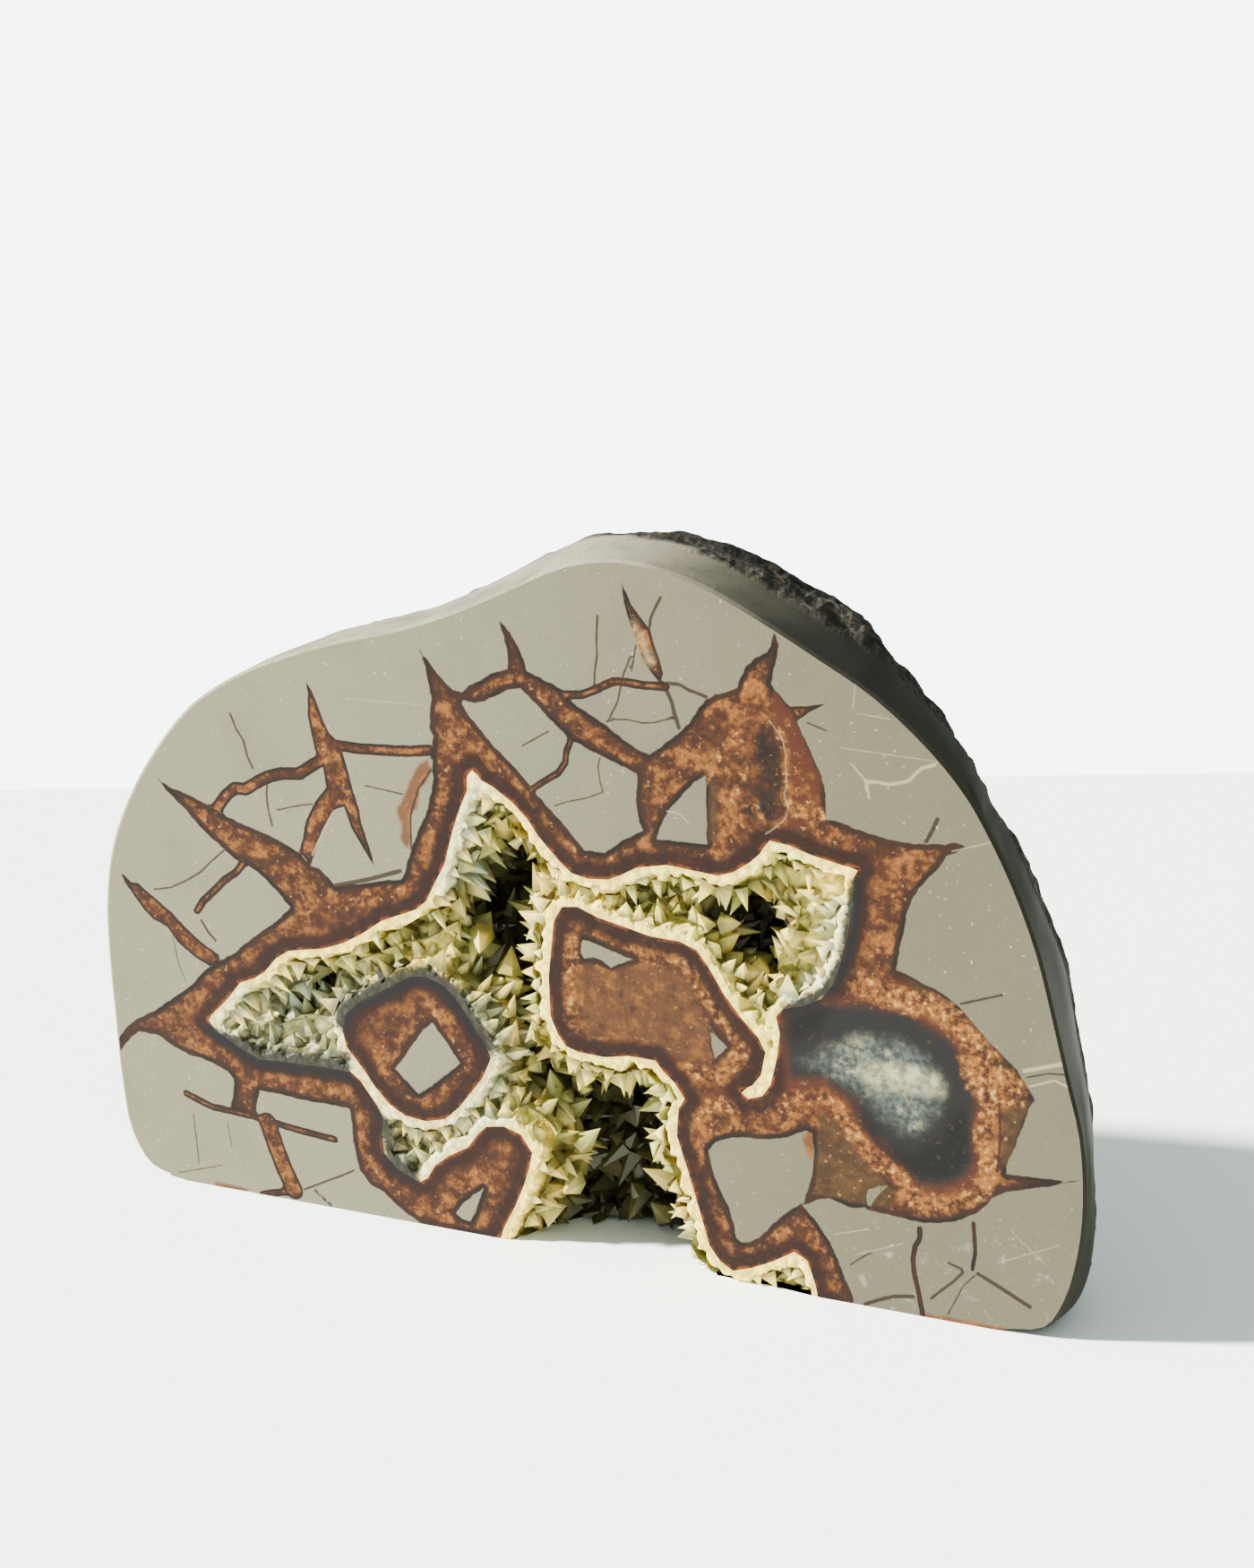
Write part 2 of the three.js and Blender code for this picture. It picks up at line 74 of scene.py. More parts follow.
# Where the brown vein starts in the grey stone, anticlockwise from the base at the right.
VEIN_EDGE: Outline = (
    (52, 0), (51.3, 2), (50.3, 4), (49.3, 6.3), (48.3, 8.7), (47, 11), (45.3, 13.3), (43.7, 15),
    (42.5, 16.2), (43.7, 16.7), (45, 17.7), (47, 18.3), (49.3, 17.7), (51, 17.3), (53, 17.7),
    (54.3, 17.3), (57, 17.2), (60, 17), (62, 16.8), (65, 17), (66.7, 17.5), (68.7, 18),
    (70.3, 19), (72.3, 20.2), (73.3, 21.3), (74.7, 23.3), (77, 24.8), (80.3, 25.8), (83.7, 26.8),
    (86.3, 27.9), (88.7, 28.7), (86, 28.3), (83.3, 28.2), (80, 28), (76.7, 27.8), (77, 30),
    (78, 32.7), (78.7, 35), (79.5, 37.7), (80, 39.7), (81, 41.3), (79.5, 43.5), (78, 45.8),
    (76, 47.7), (74, 49.3), (72, 51.3), (70, 53.3), (68, 55.3), (66, 56.7), (64, 57.7),
    (62, 58.3), (60, 59.2), (57.5, 60), (58, 64), (58.7, 67.3), (59, 70), (60, 72.7), (61, 74.3),
    (62.3, 76), (64, 78), (65, 80), (66.7, 80.8), (68.3, 82), (66.7, 82.5), (64.7, 82),
    (62, 81.7), (60, 81.5), (57, 81.5), (53.7, 82), (50.3, 82.7), (47, 83.7), (45.2, 83.7),
    (45, 88), (44.3, 90.7), (43, 93.3), (41.7, 96), (40.3, 98.7), (39.3, 101), (37.7, 102.7),
    (36.3, 104), (35.5, 105), (36, 107.3), (36.5, 109.3), (36.7, 111.3), (36, 113.5),
    (35.3, 111), (34.7, 110), (33, 109), (31.3, 107.3), (30.3, 105.3), (29.8, 103.8),
    (28, 102.8), (26, 102.2), (24.7, 101.3), (23.3, 99.7), (21.7, 97), (19.7, 95), (17, 92.7),
    (15, 91), (12.7, 91.7), (10, 93.3), (6.7, 95.5), (3.7, 97), (1.3, 98.3), (0, 99.5),
    (-1.3, 100.7), (-4, 101.8), (-6.7, 102.8), (-7.3, 104.7), (-8.3, 107), (-9.7, 109),
    (-11.7, 111.2), (-11, 108.7), (-10.3, 106.3), (-10.2, 104), (-10.3, 102.8), (-13.3, 101.7),
    (-15.3, 100.3), (-17.3, 99.3), (-18.7, 98), (-20.3, 98.3), (-21.3, 99), (-23, 100.7),
    (-24.7, 102.7), (-26.3, 104.5), (-25.8, 103.3), (-25.3, 101.7), (-24.7, 98.7), (-24.2, 96.3),
    (-24.5, 94.7), (-24.7, 91.3), (-24, 89.7), (-24.3, 87), (-24.3, 84.7), (-24.2, 82),
    (-24.7, 79.7), (-25.3, 77), (-26.7, 74), (-28.3, 70), (-29.3, 67.3), (-29.8, 65),
    (-30.7, 63.7), (-33.7, 63.2), (-37, 62.3), (-40, 61.7), (-43.3, 60.8), (-44.7, 62.3),
    (-46.3, 63.7), (-48, 64), (-50, 66), (-51.7, 66.7), (-54.3, 68), (-57.7, 69), (-61, 69.8),
    (-64.3, 71), (-68.3, 72.7), (-72.3, 74.2), (-75.7, 75), (-78, 76.3), (-76.3, 74.5),
    (-74.3, 72.7), (-72.3, 71), (-70, 68.7), (-67.7, 66.8), (-65.3, 65), (-63, 63.3), (-61, 62.8),
    (-58.7, 61.7), (-56.3, 59.7), (-53.7, 57.3), (-52.3, 55.8), (-53.7, 54.3), (-56, 52.3),
    (-58, 50.7), (-61, 48.3), (-64, 45.7), (-66.7, 44), (-68.3, 43), (-70, 41.7), (-72.3, 39),
    (-75, 36.7), (-77.7, 34.7), (-80.3, 32.7), (-85, 30), (-87, 28), (-89.3, 25), (-88.7, 23),
    (-86.3, 26), (-84.3, 27.8), (-80.3, 27.7), (-77, 26), (-74.3, 25), (-70, 24.3), (-66.3, 23),
    (-65, 21.7), (-65.3, 18.3), (-66, 16), (-61, 15), (-60.5, 18), (-59.8, 20.3), (-55, 20.2),
    (-50, 19.8), (-45, 19.8), (-41.8, 19.7), (-41.5, 16.7), (-41.3, 14), (-40.8, 10.7), (-40, 8),
    (-38.3, 6), (-35.3, 4.7), (-33.3, 3), (-30.7, 1.3), (-28.3, 0),
)

# Where the brown vein meets the pale crust, and the block of stone in the hollow's left half.
HOLLOW_EDGE: Outline = (
    (45.9, -3), (45.7, 0), (44.7, 3), (43.6, 6.2), (41.3, 7.6), (37.3, 5), (33.5, 3.1), (30.3, 2),
    (28, 3.3), (26, 6), (24.8, 10), (23.3, 15), (21.7, 20), (20, 25), (20.3, 30), (21.5, 31.7),
    (19.5, 34.5), (17.5, 36.2), (16, 38), (11, 38), (7, 37.1), (2, 37.3), (-0.2, 38), (-1.7, 40),
    (-3, 43), (-3.3, 50), (-2.8, 55), (-2.3, 60), (-0.8, 62.8), (2, 63.2), (5.7, 61.8), (11, 60.7),
    (15, 59.8), (20.3, 59.6), (23.3, 58.5), (25.5, 55.7), (28, 51.7), (31, 48), (34.2, 44.8),
    (35.5, 42.4), (34.8, 38.3), (33.3, 36.2), (31.2, 34.9), (32.4, 33.6), (35.2, 34.6), (36.6, 37),
    (37.6, 42), (38, 46), (37.3, 49), (38.5, 50.5), (42, 51.5), (45, 53.2), (47, 56), (48.2, 60),
    (49.3, 65), (50, 70), (50, 74.5), (50.8, 76.2), (48, 76.4), (43, 77.4), (39, 78.6), (35.5, 79),
    (34, 76.5), (32.5, 75), (29.5, 72.8), (26.8, 71.9), (22, 72.3), (18, 72.6), (12.7, 71.5),
    (10, 69.9), (7.5, 68.7), (4, 68.4), (1, 69), (-1.2, 70.8), (-5, 74.7), (-7, 77.5), (-9.7, 80),
    (-13, 82.2), (-15.3, 83.2), (-16.7, 85), (-17.9, 83.8), (-18, 81), (-19.3, 78), (-20.7, 74),
    (-22.5, 67.3), (-24.3, 64), (-26, 60.5), (-28, 58.7), (-34.7, 55.7), (-38, 53.2), (-42, 50.7),
    (-46, 49.1), (-53, 47.7), (-55.5, 46), (-58, 43), (-60, 41.6), (-63, 40.3), (-65.5, 37),
    (-69, 33.4), (-69.8, 32), (-68, 30.3), (-63, 27.7), (-59.5, 26.3), (-50, 26.8), (-41.5, 26.8),
    (-39.6, 25.4), (-38, 23.3), (-36.4, 21.3), (-35.2, 19), (-35.6, 15.5), (-35.2, 12.3),
    (-33, 10), (-28.3, 8), (-26.8, 9), (-25.3, 11.7), (-22.5, 14), (-18.9, 16.2), (-17, 19),
    (-15.3, 20.7), (-12, 21.3), (-8.8, 20.3), (-6.7, 17.3), (-7.3, 14.3), (-8.3, 11), (-10, 6.7),
    (-11.6, 3.5), (-13.2, 0), (-13.4, -3),
)
ISLAND_EDGE: Outline = (
    (-14.3, 33.5), (-15.3, 36.3), (-17.2, 38.5), (-19, 41.3), (-21, 43.8), (-23.5, 45.8),
    (-26.5, 46.8), (-29.3, 46.3), (-32, 44.6), (-39.5, 40), (-42, 37.5), (-42.8, 34.3),
    (-42, 31.3), (-40.3, 29.3), (-38.2, 26.8), (-36.6, 24.6), (-34, 21.9), (-31, 20.2),
    (-27, 19.8), (-23.2, 20.8), (-20.5, 23.5), (-16, 29.5),
)

# Grey stone left standing inside the vein.
WINDOWS: tuple[Outline, ...] = (
    ((-18.3, 96.7), (-16.3, 96.3), (-14.3, 97), (-12, 98.3), (-10.3, 99.3), (-8, 99.7), (-5, 97.3),
     (-2.7, 95), (0, 92.8), (2, 91.7), (5, 90.3), (8, 89.3), (10.3, 88.5), (12.7, 87.5),
     (12.8, 86), (12.5, 83.3), (12.8, 80.7), (13.7, 78), (11.7, 76.7), (10, 75.7), (8.3, 74.3),
     (7, 73.3), (3.3, 73.3), (1.7, 75), (-0.3, 77.3), (-3, 79.7), (-5.3, 82), (-9, 86),
     (-13.3, 89.7), (-15.3, 92), (-17.3, 94), (-18.7, 96)),
    ((16.2, 76.8), (25, 77), (24.8, 83), (24.6, 88.5), (22.7, 87.3), (20.5, 84.7), (18.3, 82),
     (17, 79.3)),
    ((2.8, 57.5), (5.3, 57.2), (8.3, 56.2), (12, 55.3), (10.3, 54.5), (8, 53.3), (6.7, 54.3),
     (5, 54.7), (3.3, 54.2), (2.5, 55.2)),
    ((25.7, 45.5), (27.2, 43.7), (28.8, 42.3), (28, 41.3), (26.8, 40), (26.3, 41.3), (26, 43.3)),
    ((-25.3, 38.4), (-22.5, 35), (-20.1, 31.7), (-22.5, 29.5), (-25.5, 26.8), (-28.2, 24.7),
     (-30.5, 26.8), (-32.6, 28.8), (-31, 31), (-29, 34), (-27, 37)),
    ((-16, 9), (-18, 7.3), (-20.3, 5), (-21.5, 3.3), (-20.3, 2.5), (-18.7, 2.3), (-17.7, 4),
     (-16.8, 6.7)),
    ((42.7, 29.7), (44, 29.5), (44.3, 25), (44, 21.7), (43.3, 19), (42.7, 17), (41.3, 15.7),
     (40, 14.7), (38.3, 13), (36.3, 10.7), (35, 9), (33, 7.7), (31.7, 7.5), (30.8, 8.3),
     (30.3, 11), (29.3, 13.7), (28, 16.3), (26.7, 19), (26, 21.7), (25.7, 23.3), (27, 25),
     (29, 26), (31.7, 26.7), (35, 26.8), (37.3, 27.3), (39.7, 28), (41.3, 29)),
    ((53.7, 21), (55.7, 22), (57, 22.3), (56, 21), (55, 19.7), (54.3, 18), (53.7, 18.3),
     (53.5, 19.7)),
)

# Veins that stand apart in the stone, as areas.
SPURS: tuple[Outline, ...] = (
    ((-47.8, 97.2), (-47.5, 94.7), (-47.7, 91.3), (-47.3, 88.7), (-46.3, 84.3), (-45, 82),
     (-44.5, 78.5), (-46.7, 75.7), (-48.7, 72), (-49.3, 69), (-50.2, 66.3), (-48, 64),
     (-47.5, 65.5), (-46.3, 68.3), (-45, 71.3), (-43, 74.7), (-41.2, 75.5), (-40, 72),
     (-38.3, 69.3), (-35.5, 65), (-36.7, 69.3), (-38, 73), (-38.3, 75.3), (-39.3, 78.3),
     (-40, 81), (-41.5, 85.7), (-43.7, 88.3), (-44.7, 90.3), (-45.7, 93), (-46.7, 95.3)),
    ((10, 119.3), (10.3, 116.3), (11.3, 113), (12.7, 109.7), (13.7, 106.7), (15.2, 104.7),
     (16.7, 103.3), (17.2, 104.7), (16.7, 106.7), (15.7, 109.3), (15, 111.7), (13.3, 113.7),
     (11.7, 115.7)),
    ((39.8, 99.2), (42, 101), (44.7, 102.7), (41.6, 102), (38.8, 101.6)),
    ((-87, 58.5), (-84.3, 56.3), (-83, 56.3), (-79.7, 54), (-76.3, 51.7), (-73, 48.7),
     (-69.7, 46.4), (-67, 45), (-67, 43.5), (-69, 42.5), (-72.3, 44.1), (-75.3, 46.2),
     (-77.3, 48.8), (-80, 49.8), (-81.7, 51.2), (-83.5, 53.4), (-85.5, 55.9)),
)

# Veins too narrow for an outline: width and the points along the middle.
Stroke = tuple[float, Outline]
NARROW_VEINS: tuple[Stroke, ...] = (
    (2.0, ((-44.3, 86.3), (-38, 86.1), (-31.3, 86.5), (-28, 86.8), (-25, 87.3))),
    (2.3, ((-45.3, 83.3), (-47.3, 82), (-49.7, 80.3), (-53, 80), (-55.3, 79.3), (-57.3, 78.3),
           (-60.3, 76.3), (-62.3, 76.3), (-64, 75), (-65.3, 73.3), (-66.3, 72))),
    (1.5, ((-61.3, 62.7), (-63, 60.7), (-65, 59.3), (-67.3, 57), (-69.7, 54.7), (-71, 52.7))),
    (3.6, ((-58.5, 14.5), (-57, 10), (-55.3, 5.7), (-53.5, 2))),
    (1.5, ((-53.5, 2), (-60, 0))),
    (1.4, ((-75, 17.3), (-72.3, 16.3), (-69.7, 15.5), (-65, 15.3), (-61, 15), (-57, 14.5),
           (-53, 14), (-49.7, 13.7), (-45, 13.3))),
    (1.2, ((1, 92), (0.3, 90), (0, 88), (-1.3, 86), (-3.3, 84.7), (-5.3, 83.3), (-6.7, 82))),
    (1.5, ((0, 99.5), (3, 99.8), (5, 100.7), (7, 101.8), (8.7, 102.7), (11, 102.7), (13.7, 102.5),
           (17.7, 102.7))),
    (0.9, ((62.7, 15.7), (62.8, 14), (62, 12.3), (61.7, 10), (62, 7.7), (62.7, 5), (63.2, 2.7),
           (63.7, 0.3))),
    (0.7, ((71.7, 18.3), (72, 15.7), (72.2, 13.3), (71.8, 10))),
)

# Hairline cracks stained dark.
CRACKS: tuple[Stroke, ...] = (
    (0.9, ((-43.3, 61), (-37, 62.9), (-30.7, 65.3))),
    (0.6, ((-70.3, 51), (-69, 49), (-67.5, 47.5))),
    (0.5, ((-51.5, 2.5), (-43, 7), (-41.3, 8))),
    (0.7, ((-49.7, 3), (-45.7, 0))),
    (0.5, ((-62.8, 89.7), (-61.7, 87), (-60.3, 85), (-59.7, 82.3), (-58.7, 80.3))),
    (0.5, ((-56, 77.7), (-56.2, 75.7), (-56, 73.3), (-55.3, 70.3))),
    (0.4, ((-54.3, 73.3), (-50, 74.6), (-47.3, 75.2))),
    (0.45, ((-65, 64.7), (-67.7, 62.3), (-70, 60), (-73, 58), (-76.3, 56.3), (-79.7, 55.5))),
    (0.3, ((-76.3, 47.3), (-75.3, 42), (-74, 39))),
    (0.4, ((-37, 79.7), (-33, 79.3), (-30, 79))),
    (0.35, ((-73.7, 13.3), (-73, 4))),
    (0.3, ((-66.7, 13), (-66, 8.3))),
    (0.3, ((-77.3, 1.3), (-68.3, 4.3))),
    (0.5, ((5.8, 113.3), (5.6, 109.3), (5.7, 106.7), (5.3, 104), (5.2, 101))),
    (0.6, ((16.7, 117.3), (15.7, 115.3), (15, 113.7), (14.8, 112))),
    (0.4, ((12.5, 109), (11.7, 104.7))),
    (0.45, ((11.5, 107), (10.3, 104), (9.8, 101.7), (9.3, 99.3), (8.3, 97.3), (7.7, 96))),
    (0.7, ((17.7, 103.3), (20, 103.3), (21.7, 102.5), (23.7, 102), (24.7, 101.7))),
    (0.8, ((17.7, 102.3), (18.7, 100.3), (19.2, 98.3), (20, 96))),
    (0.4, ((-3, 93), (-7.7, 90))),
    (0.4, ((41.7, 99.3), (45, 98.3))),
    (0.8, ((61.7, 82), (62.7, 84), (63.5, 86))),
    (0.5, ((68.3, 55.8), (75, 58.3))),
    (0.8, ((53.7, 0.3), (56, 1.5), (58.7, 2.7), (62, 3.3))),
    (0.8, ((72.7, 9.5), (75.3, 8.3), (78, 7), (81.7, 5.2))),
    (0.5, ((67.7, 10.5), (70, 9.8))),
    (0.6, ((70.3, 9.3), (68.7, 7.3), (66.7, 5.3), (65, 3.5))),
    (0.35, ((72.2, 9), (70.3, 6.7), (69.3, 4.3), (68, 1.3))),
    (0.4, ((51, 7), (52.7, 8.5), (54.7, 10))),
    (0.5, ((75.3, 28), (75.6, 34), (75.2, 40))),
    (0.5, ((-24.5, 84), (-27, 80.3), (-28.6, 75.5), (-28.6, 69.5))),
    (0.4, ((79.5, 45), (83, 46.2), (86.5, 46.5))),
    (0.4, ((7.3, 95.7), (8.7, 96.3), (11, 96.5), (13.7, 96.2), (15.7, 96.5), (17.7, 97.2),
           (19.7, 97.8))),
    (0.35, ((6.2, 89.5), (5.8, 88), (6.2, 85.3), (6.7, 83.7), (3.7, 82.3), (0.3, 81.3),
            (-2, 80.3))),
)

# Pale healed cracks, seams and scratches.
PALE_LINES: tuple[Stroke, ...] = (
    (0.7, ((62.7, 94.7), (60.7, 94), (59.7, 93), (58.7, 91.7), (56.7, 91), (55.3, 90.7),
           (53, 90.9), (51.7, 90.7), (51.7, 89.7))),
    (0.45, ((49.5, 93), (51.7, 90.7), (52.2, 88))),
    (0.25, ((49.5, 106.7), (49.2, 102.3))),
    (0.25, ((50, 101.7), (55.3, 101.3))),
    (0.25, ((47.3, 95.8), (63.7, 95.3))),
    (0.3, ((66, 81), (73, 83.5))),
    (0.35, ((18, 81.8), (20, 81.7), (21.7, 80.3))),
    (0.25, ((-40, 94.7), (-26, 95))),
    (0.8, ((79, 46), (83, 47.4), (87, 48.8))),
    (0.5, ((80, 43.5), (84, 45.2), (86.6, 44.2))),
    (0.5, ((-47.6, 66), (-45.2, 71), (-43.2, 74.4))),
    (0.3, ((48, 12), (54, 14))),
    (0.25, ((52, 9), (60, 12.5))),
    (0.25, ((76, 12), (86, 17))),
    (0.2, ((78, 18), (84, 13))),
    (0.25, ((35.3, 99), (36.7, 97.3), (37.7, 96), (38.2, 93.3), (38.3, 90.7), (38.5, 88.7),
            (38, 87), (38.8, 85), (38.3, 83), (36.3, 81), (35, 80))),
)

# Golden fibrous calcite that runs in bands through the right half.
GOLD_BANDS: tuple[Stroke, ...] = (
    (2.6, ((22, 28), (26, 31.5), (31, 32), (36, 33.5), (41, 35), (45, 36.3), (48, 35), (50.5, 31.5),
           (53, 28.5), (56, 26), (59, 24.3), (60.5, 22), (62, 20.5), (67, 20.8), (71, 22.5),
           (73, 24))),
    (4.2, ((50, 57), (55, 55.5), (60, 55), (64, 54.5), (67, 53), (70, 50), (73, 47), (76, 44))),
    (3.0, ((76, 43), (74, 39), (73, 36), (73, 32), (74, 28), (73, 25))),
    (2.6, ((13, 58), (22, 56), (25, 51), (28, 47), (31.5, 44), (31, 41), (27, 37), (22, 37))),
    (2.2, ((0.8, 41), (0.4, 48), (0.8, 57))),
    (2.6, ((40, 84.5), (44, 84))),
    (1.6, ((13.8, 105), (13.2, 109), (12.2, 112))),
    (0.9, ((35.3, 99), (36.7, 97.3), (37.7, 96), (38.2, 93.3), (38.3, 90.7), (38.5, 88.7),
           (38, 87), (38.8, 85), (38.3, 83), (36.3, 81), (35, 80))),
    (0.9, ((33, 85), (34, 82.7), (34.8, 80.3))),
    (0.8, ((24, 87), (27, 92), (31, 98))),
    (1.2, ((31, 81), (29.5, 86), (31, 91), (30, 95))),
)
GOLD_AREAS: tuple[Outline, ...] = (
    ((68, 47), (75, 47), (79.5, 43), (79, 40), (73, 39), (69, 42)),
)

# Dark glassy calcite: the pool at the right and the upper triangle.
DARK_AREAS: tuple[Outline, ...] = (
    ((38, 47), (39, 50), (44, 53), (51, 54), (60, 53), (66, 50.5), (70.5, 46.5), (72, 41),
     (71.5, 35), (72, 29), (70.5, 25.5), (66, 23.5), (62, 23.5), (58.5, 26.5), (54.5, 30),
     (50.5, 35.5), (45.5, 38.8), (39.5, 37.8)),
)
DARKEST_AREAS: tuple[Outline, ...] = (
    ((61, 24.5), (68, 25), (71, 29), (70.5, 35), (70, 38.5), (67.5, 36.5), (65.5, 32.5), (61, 29),
     (56, 30), (53, 34.5), (51, 36), (52.5, 31.5), (57, 27)),
    ((38.2, 49.5), (43, 51.5), (47, 51.5), (44.5, 47), (40, 44.5)),
    ((32.5, 80.5), (31.3, 85), (34, 88.5), (32.3, 93), (33.5, 98), (35.3, 98), (37.6, 93), (38, 87),
     (37.6, 84), (35.5, 81)),
)
MILKY_AREAS: tuple[Outline, ...] = (
    ((44, 44.5), (48, 47), (52, 49), (58, 49), (62, 47.5), (64.5, 45), (68, 42), (67, 40),
     (66, 37.5), (64.5, 34), (62, 31.5), (59, 31), (57, 33), (54, 34.5), (51, 37), (47, 39.5),
     (42, 40.5), (40, 42)),
)
CREAM_AREAS: tuple[Outline, ...] = (
    ((52, 40.2), (54, 43.3), (59, 43.8), (63, 43.4), (66.5, 42), (66, 40), (60.5, 39.3),
     (55.5, 39)),
    ((12.2, 112.5), (13.4, 108.5), (14.6, 106.3), (14.9, 107), (13.6, 110.5)),
)
OLIVE_AREAS: tuple[Outline, ...] = (
    ((44.6, 18.6), (44.8, 33.8), (48, 32.5), (50, 29.5), (52.5, 26.5), (55.5, 24), (58, 22),
     (58, 18.3), (52, 18.3)),
    ((25.2, 77.3), (27, 77.6), (27, 88), (25.2, 88.4)),
    ((58.3, 59.5), (62, 57.8), (66, 56), (70, 52.6), (74, 48.7), (78, 45), (76.8, 43.7),
     (72, 48.4), (68, 52.2), (64, 55), (60, 57.2)),
    ((76.8, 28.5), (79.3, 38), (80.6, 41.2), (77.5, 41.5), (75.8, 38), (75.6, 30)),
)
GRAINY_AREAS: tuple[Outline, ...] = (
    ((3, 53.5), (8, 53), (13, 55), (19, 55.5), (22, 53), (24, 49.5), (26, 46), (26, 42),
     (27, 39.5), (24, 38.5), (19, 39), (13, 40.5), (4, 41), (1.5, 45), (1.5, 50)),
)
RUSSET_AREAS: tuple[Outline, ...] = (
    ((35, 99), (37.5, 95.5), (38.3, 91), (38.5, 87), (38.3, 83.5), (36, 81), (40, 80.5), (44.6, 84),
     (44.3, 90.5), (42, 95.5), (39.5, 100.5), (36, 104.5)),
    ((23, 33), (30, 35.5), (37, 38), (45, 37.5), (50, 34), (47, 33.5), (40, 33), (32, 31.5),
     (25, 30.5)),
)
# Amber calcite; the last two are strips along the base, painted warm light on the cut face's bottom
# edge.
AMBER_AND_LIT_EDGE_AREAS: tuple[Outline, ...] = (
    ((-32.6, 28.8), (-37, 31), (-35, 34.5), (-29, 38.5), (-25.3, 38.4), (-27, 37), (-29, 34)),
    ((42.8, 29.7), (44.2, 29.5), (44.4, 25), (43.4, 25), (42, 28)),
    ((-25, 86), (-26.7, 84.7), (-28.3, 82.7), (-29, 80.7), (-29.8, 78.7), (-31.3, 76.3),
     (-31, 74.7), (-30.3, 73.3), (-30.7, 71.3), (-30, 69.7), (-28.8, 69.3), (-28.5, 73.3),
     (-28.8, 75.3), (-27.3, 76.7), (-26.8, 78.7), (-26.7, 80.3), (-25, 82), (-24.3, 84)),
    ((-70, -1), (-63, -1), (-63, 0.7), (-70, 0.9)),
    ((63, -1), (80, -1), (80, 0.7), (63, 0.7)),
)

# Where the crystal crust is bluish, and where a smoky line divides it from the vein.
BLUE_AREAS: tuple[Outline, ...] = (
    ((-24.5, 60), (-25, 66), (-21, 76), (-18, 87), (-13, 83), (-14.5, 76), (-18, 70), (-19.5, 61)),
    ((-55, 43), (-45, 46), (-33, 45), (-25, 49), (-18, 46), (-12, 42), (-10, 33), (-12, 20),
     (-8, 8), (-15, -3), (-45, 0), (-40, 24), (-70, 25), (-72, 34)),
    ((43, 50), (46, 54), (51, 61), (52, 72), (46, 71), (42, 60), (38, 52)),
)
SMOKY_AREAS: tuple[Outline, ...] = (
    ((-70, 31.5), (-63, 30.5), (-52, 30.5), (-41, 31), (-41, 24), (-60, 24), (-72, 30)),
    ((-45, 40.5), (-39, 43.5), (-32, 48), (-26, 49.5), (-20, 46.5), (-16, 41), (-12.5, 36),
     (-13.5, 33), (-16.5, 35.5), (-19, 38), (-24, 43), (-30, 43), (-40, 38), (-41.5, 34),
     (-44.5, 34.5)),
    ((38, 49), (43, 50.8), (48, 55), (51, 61), (51.8, 75), (49, 74.5), (47.3, 61), (44.5, 55.5),
     (38, 51.5)),
    ((-37, 21), (-35, 9), (-28, 7), (-28.5, 12), (-32, 18)),
)


def rgb(code: str, returned: float = RETURNED) -> tuple[float, float, float, float]:
    """A colour written as six hexadecimal digits, as linear light.

    Args:
        code: The digits for red, green and blue.
        returned: Share of it that the surface returns.

    Returns:
        Red, green, blue and a full alpha.
    """
    parts = [int(code[i:i + 2], 16) / 255 for i in (0, 2, 4)]
    linear = [c / 12.92 if c <= 0.04045 else ((c + 0.055) / 1.055) ** 2.4 for c in parts]
    return (*(returned * c for c in linear), 1.0)


def smooth(values: np.ndarray | float, low: float, high: float) -> np.ndarray:
    """Eases values from 0 at low to 1 at high."""
    t = np.clip((values - low) / (high - low), 0, 1)
    return t * t * (3 - 2 * t)


def flattened(verts: Iterable[bmesh.types.BMVert]) -> np.ndarray:
    """The corners' x and z in millimetres."""
    return np.array([(v.co.x, v.co.z) for v in verts]) / MM


def placed(name: str, data: bpy.types.ID) -> bpy.types.Object:
    """Puts a mesh, lamp or camera in the scene, at the origin."""
    made = bpy.data.objects.new(name, data)
    bpy.context.collection.objects.link(made)
    return made


